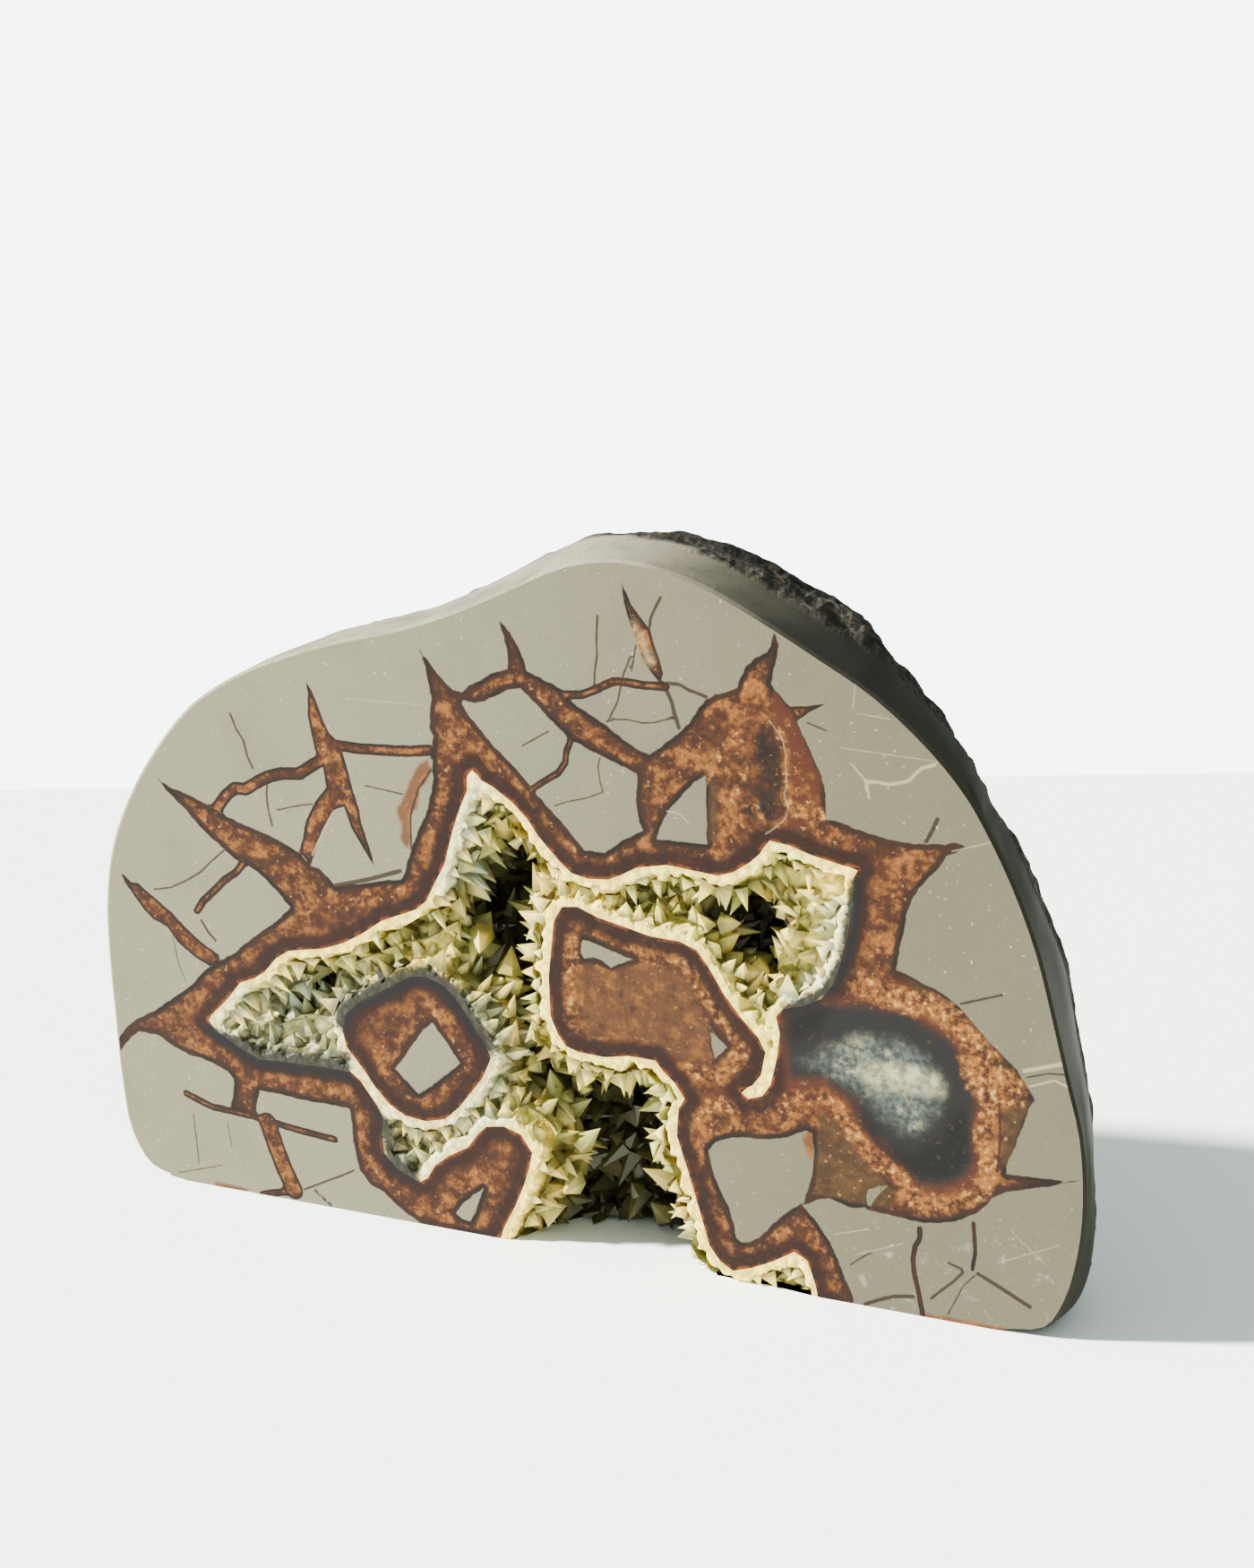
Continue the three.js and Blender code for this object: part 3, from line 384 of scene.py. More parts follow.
class Tracing:
    """Distances from points on the cut face to what is drawn there, in millimetres."""

    def __init__(self, points: np.ndarray) -> None:
        """Keeps the points, an array of x and z."""
        self.points = points

    def _nearest(self, line: Outline, closed: bool) -> tuple[np.ndarray, np.ndarray]:
        """The nearest place on a line to each point.

        Args:
            line: The line's corners.
            closed: Whether the last corner joins the first.

        Returns:
            The distances to those places, and the places.
        """
        best, place = np.full(len(self.points), FAR), self.points.copy()
        for a, b in zip(line, line[1:] + (line[:1] if closed else ())):
            a, along = np.array(a, float), np.subtract(b, a)
            t = np.clip((self.points - a) @ along / (along @ along), 0, 1)
            foot = a + t[:, None] * along
            gap = np.sqrt(((self.points - foot) ** 2).sum(1))
            nearer = gap < best
            best[nearer], place[nearer] = gap[nearer], foot[nearer]
        return best, place

    def inside(self, outlines: list[Outline]) -> np.ndarray:
        """Which points lie inside an odd number of closed outlines.

        Args:
            outlines: The outlines.

        Returns:
            True or False for each point.
        """
        within = np.zeros(len(self.points), bool)
        x, z = self.points.T
        for outline in outlines:
            for (ax, az), (bx, bz) in zip(outline, outline[1:] + outline[:1]):
                if az != bz:
                    level = (z < az) != (z < bz)
                    within ^= level & (x < ax + (z - az) / (bz - az) * (bx - ax))
        return within

    def areas(self, outlines: tuple[Outline, ...]) -> np.ndarray:
        """How deep each point lies inside the nearest of several outlines.

        Args:
            outlines: The closed outlines.

        Returns:
            One depth for each point; negative is outside.
        """
        depths = []
        for outline in outlines:
            depth, _ = self._nearest(outline, True)
            depths.append(np.where(self.inside([outline]), depth, -depth))
        return np.maximum.reduce(depths)

    def strokes(self, strokes: tuple[Stroke, ...]) -> np.ndarray:
        """How deep each point lies inside the nearest of several strokes; negative is outside."""
        return np.maximum.reduce([w / 2 - self._nearest(line, False)[0] for w, line in strokes])

    def to_crust(self) -> tuple[np.ndarray, np.ndarray]:
        """Distance of each point to where the vein meets the crust, and the nearest place on it."""
        gap, place = self._nearest(HOLLOW_EDGE, True)
        other_gap, other_place = self._nearest(ISLAND_EDGE, True)
        return np.minimum(gap, other_gap), np.where((other_gap < gap)[:, None], other_place, place)


def outlines_of(shape: bmesh.types.BMesh) -> list[Outline]:
    """Closed outlines of the hole that a shape has in the plane of the cut face.

    Args:
        shape: A mesh whose faces on the cut face were taken away.

    Returns:
        Each outline's x and z in millimetres.
    """
    open_edges = dict.fromkeys(e for e in shape.edges if len(e.link_faces) == 1)
    found = []
    while open_edges:
        edge = next(iter(open_edges))
        del open_edges[edge]
        start, at = edge.verts
        line = [start]
        while at is not start:
            line.append(at)
            edge = next(e for e in at.link_edges if e in open_edges)
            del open_edges[edge]
            at = edge.other_vert(at)
        found.append(tuple((v.co.x / MM, v.co.z / MM) for v in line))
    return found


@dataclass
class CutBlock:
    """A solid of the frame made finer: its skin refined, its flat front laid out anew."""

    node: str
    cuts: int  # new corners on each edge of the skin
    face_grain: float  # spacing of the points on the cut face, mm

    def open_skin(self) -> bmesh.types.BMesh:
        """The node's merged and refined skin.

        Returns:
            A mesh without its faces on the cut face.
        """
        shape = bmesh.new()
        shape.from_mesh(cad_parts[self.node].data)
        bmesh.ops.remove_doubles(shape, verts=shape.verts, dist=SAME)
        flat = [f for f in shape.faces if all(v.co.y < FACE_Y + ON_FACE for v in f.verts)]
        bmesh.ops.delete(shape, geom=flat, context="FACES")
        bmesh.ops.subdivide_edges(shape, edges=shape.edges[:], cuts=self.cuts, use_grid_fill=True)
        return shape

    def face(self, outlines: list[Outline], drawn: list[Outline]) -> tuple[list, list]:
        """Triangles that fill the cut face between its outlines.

        Args:
            outlines: Closed outlines of the face and of its openings, mm.
            drawn: Open lines that the triangles' edges follow, mm.

        Returns:
            Corners as x and z in millimetres, and triangles as their indices.
        """
        spots, edges = [], []
        for line, closed in [(o, True) for o in outlines] + [(d, False) for d in drawn]:
            first = len(spots)
            spots.extend(line)
            edges.extend((i, i + 1) for i in range(first, len(spots) - 1))
            if closed:
                edges.append((len(spots) - 1, first))
        reach = np.concatenate(outlines)
        low, high = reach.min(0), reach.max(0)
        rows = np.arange(low[1], high[1], self.face_grain * ROW_STEP)
        grid = np.array([(x + self.face_grain / 2 * (r % 2), z) for r, z in enumerate(rows)
                         for x in np.arange(low[0], high[0], self.face_grain)])
        spots.extend(map(tuple, grid[Tracing(grid).inside(outlines)].tolist()))
        corners, _, faces, *_ = delaunay_2d_cdt([Vector(s) for s in spots], edges, [], 0,
                                                SAME_SPOT, False)
        flat = np.array([tuple(c) for c in corners])
        faces = np.array(faces)
        kept = Tracing(flat[faces].mean(1)).inside(outlines)
        return flat.tolist(), faces[kept].tolist()

    def close(self, shape: bmesh.types.BMesh, drawn: list[Outline]) -> None:
        """Fills the skin's front with flat triangles.

        Args:
            shape: The skin, which keeps material 0 and gets a front of material 1.
            drawn: Open lines that the triangles' edges follow, mm.
        """
        corners, faces = self.face(outlines_of(shape), drawn)
        verts = [shape.verts.new((x * MM, FACE_Y, z * MM)) for x, z in corners]
        for a, b, c in faces:
            if len({a, b, c}) == 3:
                shape.faces.new((verts[a], verts[b], verts[c])).material_index = 1
        bmesh.ops.delete(shape, geom=[v for v in verts if not v.link_faces], context="VERTS")
        bmesh.ops.remove_doubles(shape, verts=shape.verts, dist=SAME)

    def stand_in(self, name: str, mesh: bpy.types.Mesh) -> bpy.types.Object:
        """Makes a mesh a piece that rides on the body and replaces the frame's node.

        Args:
            name: The piece's name.
            mesh: Its mesh, in the frame's axes.

        Returns:
            The piece.
        """
        made = placed(name, mesh)
        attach(made, "root")
        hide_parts(self.node)
        return made

    def piece(self, shape: bmesh.types.BMesh, name: str,
              materials: list[bpy.types.Material]) -> bpy.types.Object:
        """Turns the shape into a piece that stands for the frame's node.

        Args:
            shape: The finished mesh, freed here.
            name: The piece's name.
            materials: One for the skin and one for the cut face.

        Returns:
            The piece.
        """
        mesh = bpy.data.meshes.new(name)
        shape.to_mesh(mesh)
        shape.free()
        for material in materials:
            mesh.materials.append(material)
        return self.stand_in(name, mesh)


def face_points(mesh: bpy.types.Mesh) -> tuple[np.ndarray, np.ndarray]:
    """Corners of a mesh.

    Args:
        mesh: The mesh.

    Returns:
        Its x and z in millimetres, and its depth behind the cut face in millimetres.
    """
    place = np.empty(len(mesh.vertices) * 3, np.float32)
    mesh.vertices.foreach_get("co", place)
    place = place.reshape(-1, 3).astype(float)
    return place[:, ::2] / MM, (place[:, 1] - FACE_Y) / MM


def write(mesh: bpy.types.Mesh, name: str, values: np.ndarray) -> None:
    """Stores a number, or three, for each corner of a mesh, for a material or nodes to read."""
    kind, field = ("FLOAT", "value") if values.ndim == 1 else ("FLOAT_VECTOR", "vector")
    layer = mesh.attributes.new(name, kind, "POINT")
    layer.data.foreach_set(field, values.astype(np.float32).ravel())


class Value:
    """An output of a material's node tree that can stand in an expression."""

    def __init__(self, tree: bpy.types.NodeTree, socket: bpy.types.NodeSocket) -> None:
        """Wraps one output socket."""
        self.tree = tree
        self.socket = socket

    def _math(self, operation: str, *terms: "Value | float") -> "Value":
        """Adds one Math node.

        Args:
            operation: The node's operation.
            terms: Its inputs in order.

        Returns:
            The node's result.
        """
        node = self.tree.nodes.new("ShaderNodeMath")
        node.operation = operation
        for slot, term in zip(node.inputs, terms):
            feed(self.tree, slot, term)
        return Value(self.tree, node.outputs[0])

    def __add__(self, other: "Value | float") -> "Value":
        """self + other."""
        return self._math("ADD", self, other)

    __radd__ = __add__

    def __sub__(self, other: "Value | float") -> "Value":
        """self - other."""
        return self._math("SUBTRACT", self, other)

    def __rsub__(self, other: "Value | float") -> "Value":
        """other - self."""
        return self._math("SUBTRACT", other, self)

    def __mul__(self, other: "Value | float") -> "Value":
        """self * other."""
        return self._math("MULTIPLY", self, other)

    __rmul__ = __mul__

    def most(self, other: "Value | float") -> "Value":
        """The larger of the two."""
        return self._math("MAXIMUM", self, other)

    def eased(self, low: float, high: float) -> "Value":
        """A smooth rise.

        Args:
            low: Where it starts, at 0.
            high: Where it ends, at 1.

        Returns:
            The node's result.
        """
        node = self.tree.nodes.new("ShaderNodeMapRange")
        node.interpolation_type = "SMOOTHSTEP"
        for slot, term in zip(node.inputs, (self, low, high, 0.0, 1.0)):
            feed(self.tree, slot, term)
        return Value(self.tree, node.outputs[0])


def feed(tree: bpy.types.NodeTree, slot: bpy.types.NodeSocket, value: object) -> None:
    """Links a Value to an input socket, or sets a plain value on it."""
    if isinstance(value, Value):
        tree.links.new(value.socket, slot)
    else:
        slot.default_value = value


class Paint:
    """A material under construction: its tree and its Principled shader."""

    def __init__(self, name: str, returned: float = RETURNED) -> None:
        """Starts a material with one Principled shader.

        Args:
            name: The material's name.
            returned: Share of their colours that its layers return.
        """
        self.material = bpy.data.materials.new(name)
        self.material.use_nodes = True
        self.tree = self.material.node_tree
        self.shader = self.tree.nodes["Principled BSDF"]
        self.place = self.node("ShaderNodeTexCoord", output="Object")
        self.returned = returned

    def node(self, kind: str, settings: dict | None = None, inputs: dict | None = None,
             output: str | int = 0) -> Value:
        """Adds any node.

        Args:
            kind: The node's type.
            settings: Its properties, set first.
            inputs: Values or links by socket name or number.
            output: Name or number of the socket returned.

        Returns:
            The chosen output.
        """
        node = self.tree.nodes.new(kind)
        for name, value in (settings or {}).items():
            setattr(node, name, value)
        for name, value in (inputs or {}).items():
            feed(self.tree, node.inputs[name], value)
        return Value(self.tree, node.outputs[output])

    def attribute(self, name: str) -> Value:
        """A number stored at the mesh's corners."""
        return self.node("ShaderNodeAttribute", {"attribute_name": name}, output="Fac")

    def axes(self) -> tuple[Value, Value, Value]:
        """The place on the object, as three numbers in metres."""
        node = self.node("ShaderNodeSeparateXYZ", inputs={0: self.place}).socket.node
        return tuple(Value(self.tree, socket) for socket in node.outputs)

    def grain(self, size: float, detail: float = 3.0, roughness: float = 0.5) -> Value:
        """Soft noise from 0 to 1.

        Args:
            size: Rough size of its patches, mm.
            detail: Octaves added.
            roughness: Weight of each finer octave.

        Returns:
            The noise.
        """
        return self.node("ShaderNodeTexNoise", inputs={
            "Vector": self.place, "Scale": 1 / (size * MM), "Detail": detail,
            "Roughness": roughness})

    def cells(self, size: float, feature: str = "F1", output: str = "Distance") -> Value:
        """Distance within a pattern of cells of a size in mm."""
        return self.node("ShaderNodeTexVoronoi", {"feature": feature},
                         {"Vector": self.place, "Scale": 1 / (size * MM)}, output)

    def over(self, under: object, colour: object, mask: Value | float) -> Value:
        """Lays one colour over another.

        Args:
            under: The colour below.
            colour: The colour laid over it.
            mask: How much of it shows, 0 to 1.

        Returns:
            The mixed colour.
        """
        return self.node("ShaderNodeMix", {"data_type": "RGBA"}, {0: mask, 6: under, 7: colour}, 2)

    def layers(self, under: Value | str, *layers: tuple[str, Value | float]) -> Value:
        """Lays colours over one another, the first at the bottom.

        Args:
            under: The colour at the bottom, or its digits.
            layers: The digits of each colour, and how much of it shows, 0 to 1.

        Returns:
            The mixed colour.
        """
        if isinstance(under, str):
            under = rgb(under, self.returned)
        for code, mask in layers:
            under = self.over(under, rgb(code, self.returned), mask)
        return under

    def bump(self, height: Value, depth: float, strength: float = 1.0) -> Value:
        """A normal raised by a height from 0 to 1 over a depth in mm."""
        return self.node("ShaderNodeBump", inputs={
            "Height": height, "Distance": depth * MM, "Strength": strength}, output="Normal")

    def dress(self, **values: object) -> bpy.types.Material:
        """Sets the shader's sockets, with _ for a space in their names, and gives the material."""
        for name, value in values.items():
            feed(self.tree, self.shader.inputs[name.replace("_", " ")], value)
        return self.material


class FacePattern:
    """What the cut face is coloured with: noises, and its tracings made uneven."""

    def __init__(self, paint: Paint) -> None:
        """Adds the noises to a material."""
        self.paint = paint
        self.wobble = (paint.grain(1.6, 3) - 0.5) * 1.3
        self.soft = (paint.grain(5, 3) - 0.5) * 3.0
        self.fibre = paint.grain(1.1, 4, 0.6)
        self.clumps = paint.grain(2.1, 5, 0.62)
        self.grit = paint.cells(0.55, output="Color")

    def drawn(self, name: str, wobble: float = 0.0, soft: float = 0.0) -> Value:
        """How deep a place lies inside what is drawn, in millimetres.

        Args:
            name: The tracing.
            wobble: Share of the fine unevenness of its edge.
            soft: Share of the broad unevenness of its edge.

        Returns:
            The depth; negative is outside.
        """
        depth = self.paint.attribute(name)
        if wobble:
            depth = depth + self.wobble * wobble
        if soft:
            depth = depth + self.soft * soft
        return depth


@dataclass(frozen=True)
class CutFaceFinish:
    """Polished mudstone with banded brown calcite, read from the tracings on the mesh."""

    stone_left: str = "9B967A"
    stone_right: str = "7B765E"
    stone_clouds: str = "6D6759"
    stone_grains: str = "5C574B"
    stone_specks: str = "D8D4C4"
    line: str = "110905"
    edge: str = "331A0D"
    body: str = "4E270E"
    gold: str = "A9692B"
    fleck: str = "DDAA60"
    russet: str = "552812"
    maroon: str = "260C05"
    fringe: str = "9A4F1E"
    smoke: str = "0D1216"
    pool: str = "1F1D1D"
    deepest: str = "070707"
    milk: str = "6F7A73"
    cream: str = "E4DDAC"
    olive: str = "4C361C"
    # amber calcite, and painted warm light along the base
    grainy: str = "5E3A1E"
    amber_and_lit_edge: str = "70411E"
    crack: str = "2E1A0F"
    pale: str = "DCC99A"
    roughness: float = 0.42
    polish: float = 0.08  # how much smoother calcite is than mudstone
    gloss: float = 0.12

    def stone(self, paint: Paint) -> Value:
        """Grey mudstone, a little darker to the right, with fine dark and light grains.

        Args:
            paint: The cut face's material.

        Returns:
            Its colour.
        """
        x, _, z = paint.axes()
        smudge = x.eased(0.04, 0.056) * (1 - z.eased(0.012, 0.019))
        return paint.layers(
            self.stone_left,
            (self.stone_right, x.eased(-0.06, 0.07)),
            (self.stone_clouds, paint.grain(14, 4).eased(0.5, 0.85) * 0.4),
            (self.stone_grains, paint.grain(0.5, 2).eased(0.58, 0.75) * 0.5),
            (self.stone_specks, paint.grain(0.9, 2).eased(0.68, 0.8) * 0.7),
            (self.stone_specks, smudge * paint.grain(3, 5, 0.7).eased(0.56, 0.7) * 0.4))

    def veins(self, face: FacePattern) -> Value:
        """Banded calcite, from its dark edge by the stone to the maroon one by the crust.

        Args:
            face: The noises and tracings of the cut face.

        Returns:
            Its colour.
        """
        fibre, clumps, grit = face.fibre, face.clumps, face.grit
        vein, away = face.drawn("vein", 0.5), face.drawn("away", 1)
        pool = face.drawn("pool", soft=0.6)
        inner = vein.eased(0.75, 1.4)
        lively = inner * (1 - vein.eased(3.2, 6.0) * 0.45)
        streak = face.paint.grain(7, 2).eased(0.42, 0.58) * 0.8
        grainy = face.drawn("grainy", 1).eased(-0.3, 0.8)
        russet = face.drawn("russet", 1).eased(-0.4, 0.8)
        olive = face.drawn("olive", 0.4).eased(-0.2, 0.5)
        milk = face.drawn("milk", soft=1).eased(-0.8, 4.0)
        cream = face.drawn("cream", soft=0.9).eased(-1.2, 1.8)
        golden = face.drawn("gold", 1, 0.3).eased(-0.7, 0.7)
        smoke = face.drawn("smoke", soft=0.4).eased(-0.8, 0.8)
        off_pool = 1 - pool.eased(-1.4, 0.6) * 0.85
        return face.paint.layers(
            self.edge,
            (self.line, (1 - vein.eased(0.4, 0.9)) * streak),
            (self.body, vein.eased(1.0, 1.9)),
            (self.gold, lively * clumps.eased(0.45, 0.66) * 0.9),
            (self.edge, inner * (1 - clumps.eased(0.34, 0.48)) * 0.8),
            (self.edge, inner * grit.eased(0.5, 0.8) * 0.4),
            (self.grainy, grainy * (1 - grit.eased(0.6, 0.8) * 0.4)),
            (self.gold, grainy * clumps.eased(0.5, 0.68) * 0.4),
            (self.edge, grainy * (1 - clumps.eased(0.3, 0.45)) * 0.7),
            (self.russet, russet * (0.9 - clumps.eased(0.5, 0.7) * 0.55)),
            (self.olive, olive * 0.85),
            (self.edge, olive * (1 - clumps.eased(0.36, 0.56)) * 0.5),
            (self.russet, pool.eased(-3.4, -1.0) * 0.8),
            (self.pool, pool.eased(-1.2, 2.0)),
            (self.deepest, face.drawn("deepest", soft=0.5).eased(-1.5, 1.8) * 0.85),
            (self.milk, milk * (fibre.eased(0.38, 0.62) * 0.55 + 0.25)),
            (self.cream, milk * clumps.eased(0.5, 0.75) * 0.5),
            (self.cream, cream * (clumps.eased(0.3, 0.62) * 0.8 + 0.15)),
            (self.gold, golden * (clumps.eased(0.4, 0.58) * 0.5
                                  + fibre.eased(0.42, 0.58) * 0.48)),
            (self.edge, golden * (1 - fibre.eased(0.36, 0.48)) * 0.75),
            (self.fleck, golden * fibre.eased(0.55, 0.66) * 0.8),
            (self.fleck, lively * (1 - pool.eased(-0.5, 1.5) * 0.8)
             * fibre.eased(0.6, 0.72) * 0.6),
            (self.maroon, (1 - (away + face.soft * 0.35).eased(1.9, 3.6)) * off_pool * 0.94),
            (self.fringe, (1 - away.eased(0.1, 0.7)) * clumps.eased(0.4, 0.6) * off_pool * 0.7),
            (self.smoke, smoke * (1 - (away + face.soft * 0.2).eased(0.6, 2.6)) * 0.9))

    def material(self) -> bpy.types.Material:
        """The whole finish of the cut face.

        Returns:
            The material.
        """
        paint = Paint("polished_cut_face")
        face = FacePattern(paint)
        vein = face.drawn("vein", 0.5)
        in_vein = vein.eased(-0.12, 0.12).most(face.drawn("milk").eased(-0.2, 0.3))
        # Amber calcite, and painted warm light along the base.
        amber_and_lit_edge = face.drawn("amber_and_lit_edge", 0.6).eased(-0.3, 0.5)
        colour = paint.layers(self.stone(paint), (self.amber_and_lit_edge, amber_and_lit_edge * 0.92),
                              (self.gold, amber_and_lit_edge * face.clumps.eased(0.48, 0.6) * 0.7))
        colour = paint.layers(paint.over(colour, self.veins(face), in_vein),
                              (self.crack, face.drawn("crack", 0.15).eased(-0.07, 0.17) * 0.9),
                              (self.pale, face.drawn("pale", 0.15).eased(-0.07, 0.23) * 0.6))
        height = (paint.grain(0.35, 2) * 0.25 + face.fibre * vein.eased(0.75, 1.4) * 0.5
                  - in_vein * 0.3)
        return paint.dress(Base_Color=colour, Roughness=self.roughness - in_vein * self.polish,
                           Normal=paint.bump(height, 0.12, 0.6), Specular_IOR_Level=self.gloss)


@dataclass(frozen=True)
class RindFinish:
    """Ground edge of the stone, and the weathered rind behind it."""

    ground: str = "B5AE96"
    ground_dark: str = "938D7B"
    # painted shade laid over the ground edge, more of it towards the right side
    shaded: str = "292823"
    weathered: str = "33312C"
    dusty: str = "7B776C"
    rust: str = "6A4C34"
    pitted: str = "191815"
    specks: str = "4B4841"
    roughness: float = 0.5
    coarser: float = 0.35  # how much rougher the rind is than the ground edge
    gloss: float = 0.03

    def material(self) -> bpy.types.Material:
        """The finish, turning from ground to weathered with the depth behind the face, with painted
        light and shade: pale at the left, darker towards the right.

        Returns:
            The material.
        """
        paint = Paint("ground_edge_and_rind")
        rough = paint.attribute("rough")
        broad, fine, pits = paint.grain(9, 5, 0.6), paint.grain(1.1, 5, 0.65), paint.cells(2.2)
        x, _, _ = paint.axes()
        # Painted light and shade: the ground edge is pale at the left and darkens towards the right
        # side.
        ground = paint.layers(self.ground, (self.ground_dark, broad.eased(0.4, 0.7)),
                              (self.shaded, x.eased(0.0, 0.045) * 0.95))
        rind = paint.layers(self.weathered,
                            (self.dusty, broad.eased(0.42, 0.66) * fine.eased(0.35, 0.65)),
                            (self.rust, paint.grain(4, 4).eased(0.6, 0.78) * 0.5),
                            (self.pitted, (1 - pits.eased(0.1, 0.3)) * fine.eased(0.4, 0.6)))
        colour = paint.layers(paint.over(ground, rind, rough),
                              (self.specks, paint.grain(0.6, 2).eased(0.6, 0.72) * 0.5))
        height = fine * rough + pits.eased(0.0, 0.5) * rough * 0.6 + paint.grain(0.4, 2) * 0.06
        return paint.dress(Base_Color=colour, Roughness=self.roughness + rough * self.coarser,
                           Specular_IOR_Level=self.gloss, Normal=paint.bump(height, 0.7, 0.8))


@dataclass(frozen=True)
class Clarity:
    """How a calcite takes the light."""

    returned: float  # share of a colour that it returns
    see_through: float
    gloss: float
    greenish: float  # how much of the green patches shows
    bluish: float  # how much of the blue areas shows


class CrystalTone(Enum):
    """Which calcite finish is used; the points return less of their colour than the sawn rim, as
    painted shade.
    """

    RIM = Clarity(returned=0.95, see_through=0.03, gloss=0.07, greenish=0.45, bluish=0.6)
    POINTS = Clarity(returned=0.62, see_through=0.18, gloss=0.13, greenish=0.9, bluish=0.75)


@dataclass(frozen=True)
class CalciteFinish:
    """Pale translucent calcite, smoky by the vein, with painted shade that turns it olive and dark
    deeper in the hollow.
    """

    tone: CrystalTone
    cream: str = "F3D965"
    green: str = "BCC66C"
    blue: str = "AFC4B4"
    smoke: str = "0B1014"
    # olive and deep: painted shade that grows with depth in the hollow; olive also tints some
    # crystals at random
    olive: str = "74712F"
    deep: str = "36331B"
    # foot: painted shade at each crystal's foot, and also the colour of the sawn rim's seams
    foot: str = "6E6424"
    grainy: str = "B9A04C"
    fringe: str = "C9A24E"
    white: str = "F6EBA2"
    warm: str = "D6A84C"
    bend: float = 1.6  # index of refraction
    glow: float = 0.1  # share of the light that spreads under the surface
    glow_reach: tuple[float, float, float] = (0.001, 0.0009, 0.0005)  # red, green and blue, m

    def material(self) -> bpy.types.Material:
        """The finish for the chosen tone.

        Returns:
            The material.
        """
        look = self.tone.value
        paint = Paint("calcite_" + self.tone.name.lower(), look.returned)
        _, y, _ = paint.axes()
        depth = (y - FACE_Y) * (1 / MM)
        patches, fine, tone = paint.grain(7, 3), paint.grain(0.8, 3), paint.attribute("tone")
        crust = paint.attribute("crust") + (fine - 0.5) * 2
        blue = (paint.attribute("blue") + (patches - 0.5) * 7).eased(-1, 2)
        smoky = (paint.attribute("smoky") + (fine - 0.5) * 2).eased(-0.5, 1.0)
        # Painted shade: the calcite darkens the deeper it lies behind the cut face.
        depth_shade = (depth + (patches - 0.5) * 6 - tone * 2.5).eased(1.5, 7)
        dark = (depth + (fine - 0.5) * 5 - tone * 2).eased(4, 12)
        colour = paint.layers(
            self.cream,
            (self.green, patches.eased(0.42, 0.62) * look.greenish),
            (self.blue, blue * look.bluish),
            (self.white, tone.eased(0.55, 1.0) * 0.6),
            (self.warm, (tone.eased(0.28, 0.32) - tone.eased(0.42, 0.46)) * 0.6))
        height = fine * 0.15
        if self.tone is CrystalTone.RIM:
            sawn = paint.cells(1.7)
            seams = 1 - paint.cells(1.7, "DISTANCE_TO_EDGE").eased(0.02, 0.14)
            colour = paint.layers(colour, (self.grainy, sawn.eased(0.3, 0.75) * 0.6),
                                  (self.foot, seams * fine.eased(0.4, 0.6) * 0.4),
                                  (self.fringe, (1 - crust.eased(0.2, 0.9)) * 0.5))
            height = height + (1 - sawn) * 0.85
        else:
            tip = paint.attribute("tip")
            # Painted highlight on the tips near the cut face, and painted shade at each crystal's
            # foot.
            sunlit = (1 - depth.eased(0.6, 3.6)) * tip.eased(0.1, 0.5)
            bright = rgb(self.cream, CrystalTone.RIM.value.returned)
            colour = paint.layers(paint.over(colour, bright, sunlit * 0.5),
                                  (self.foot, (1 - tip.eased(0.05, 0.5)) * 0.65),
                                  (self.olive, (1 - tone).eased(0.55, 1.0) * 0.5))
        colour = paint.layers(colour, (self.smoke, smoky * (1 - crust.eased(1.4, 4.2)) * 0.97),
                              (self.olive, depth_shade * 0.8), (self.deep, dark * 0.9))
        return paint.dress(Base_Color=colour, Roughness=0.2 + fine * 0.25,
                           Transmission_Weight=look.see_through, IOR=self.bend,
                           Specular_IOR_Level=look.gloss, Subsurface_Weight=self.glow,
                           Subsurface_Radius=self.glow_reach, Subsurface_Scale=1.0,
                           Normal=paint.bump(height, 0.8, 0.5))


@dataclass(frozen=True)
class Zone:
    """A corner of the stone: 1 past the second limit each way, 0 before the first, in mm."""

    across: Point
    up: Point

    def holds(self, x: np.ndarray | float, z: np.ndarray | float) -> np.ndarray:
        """How far places are into the zone, 0 to 1."""
        return smooth(x, *self.across) * smooth(z, *self.up)


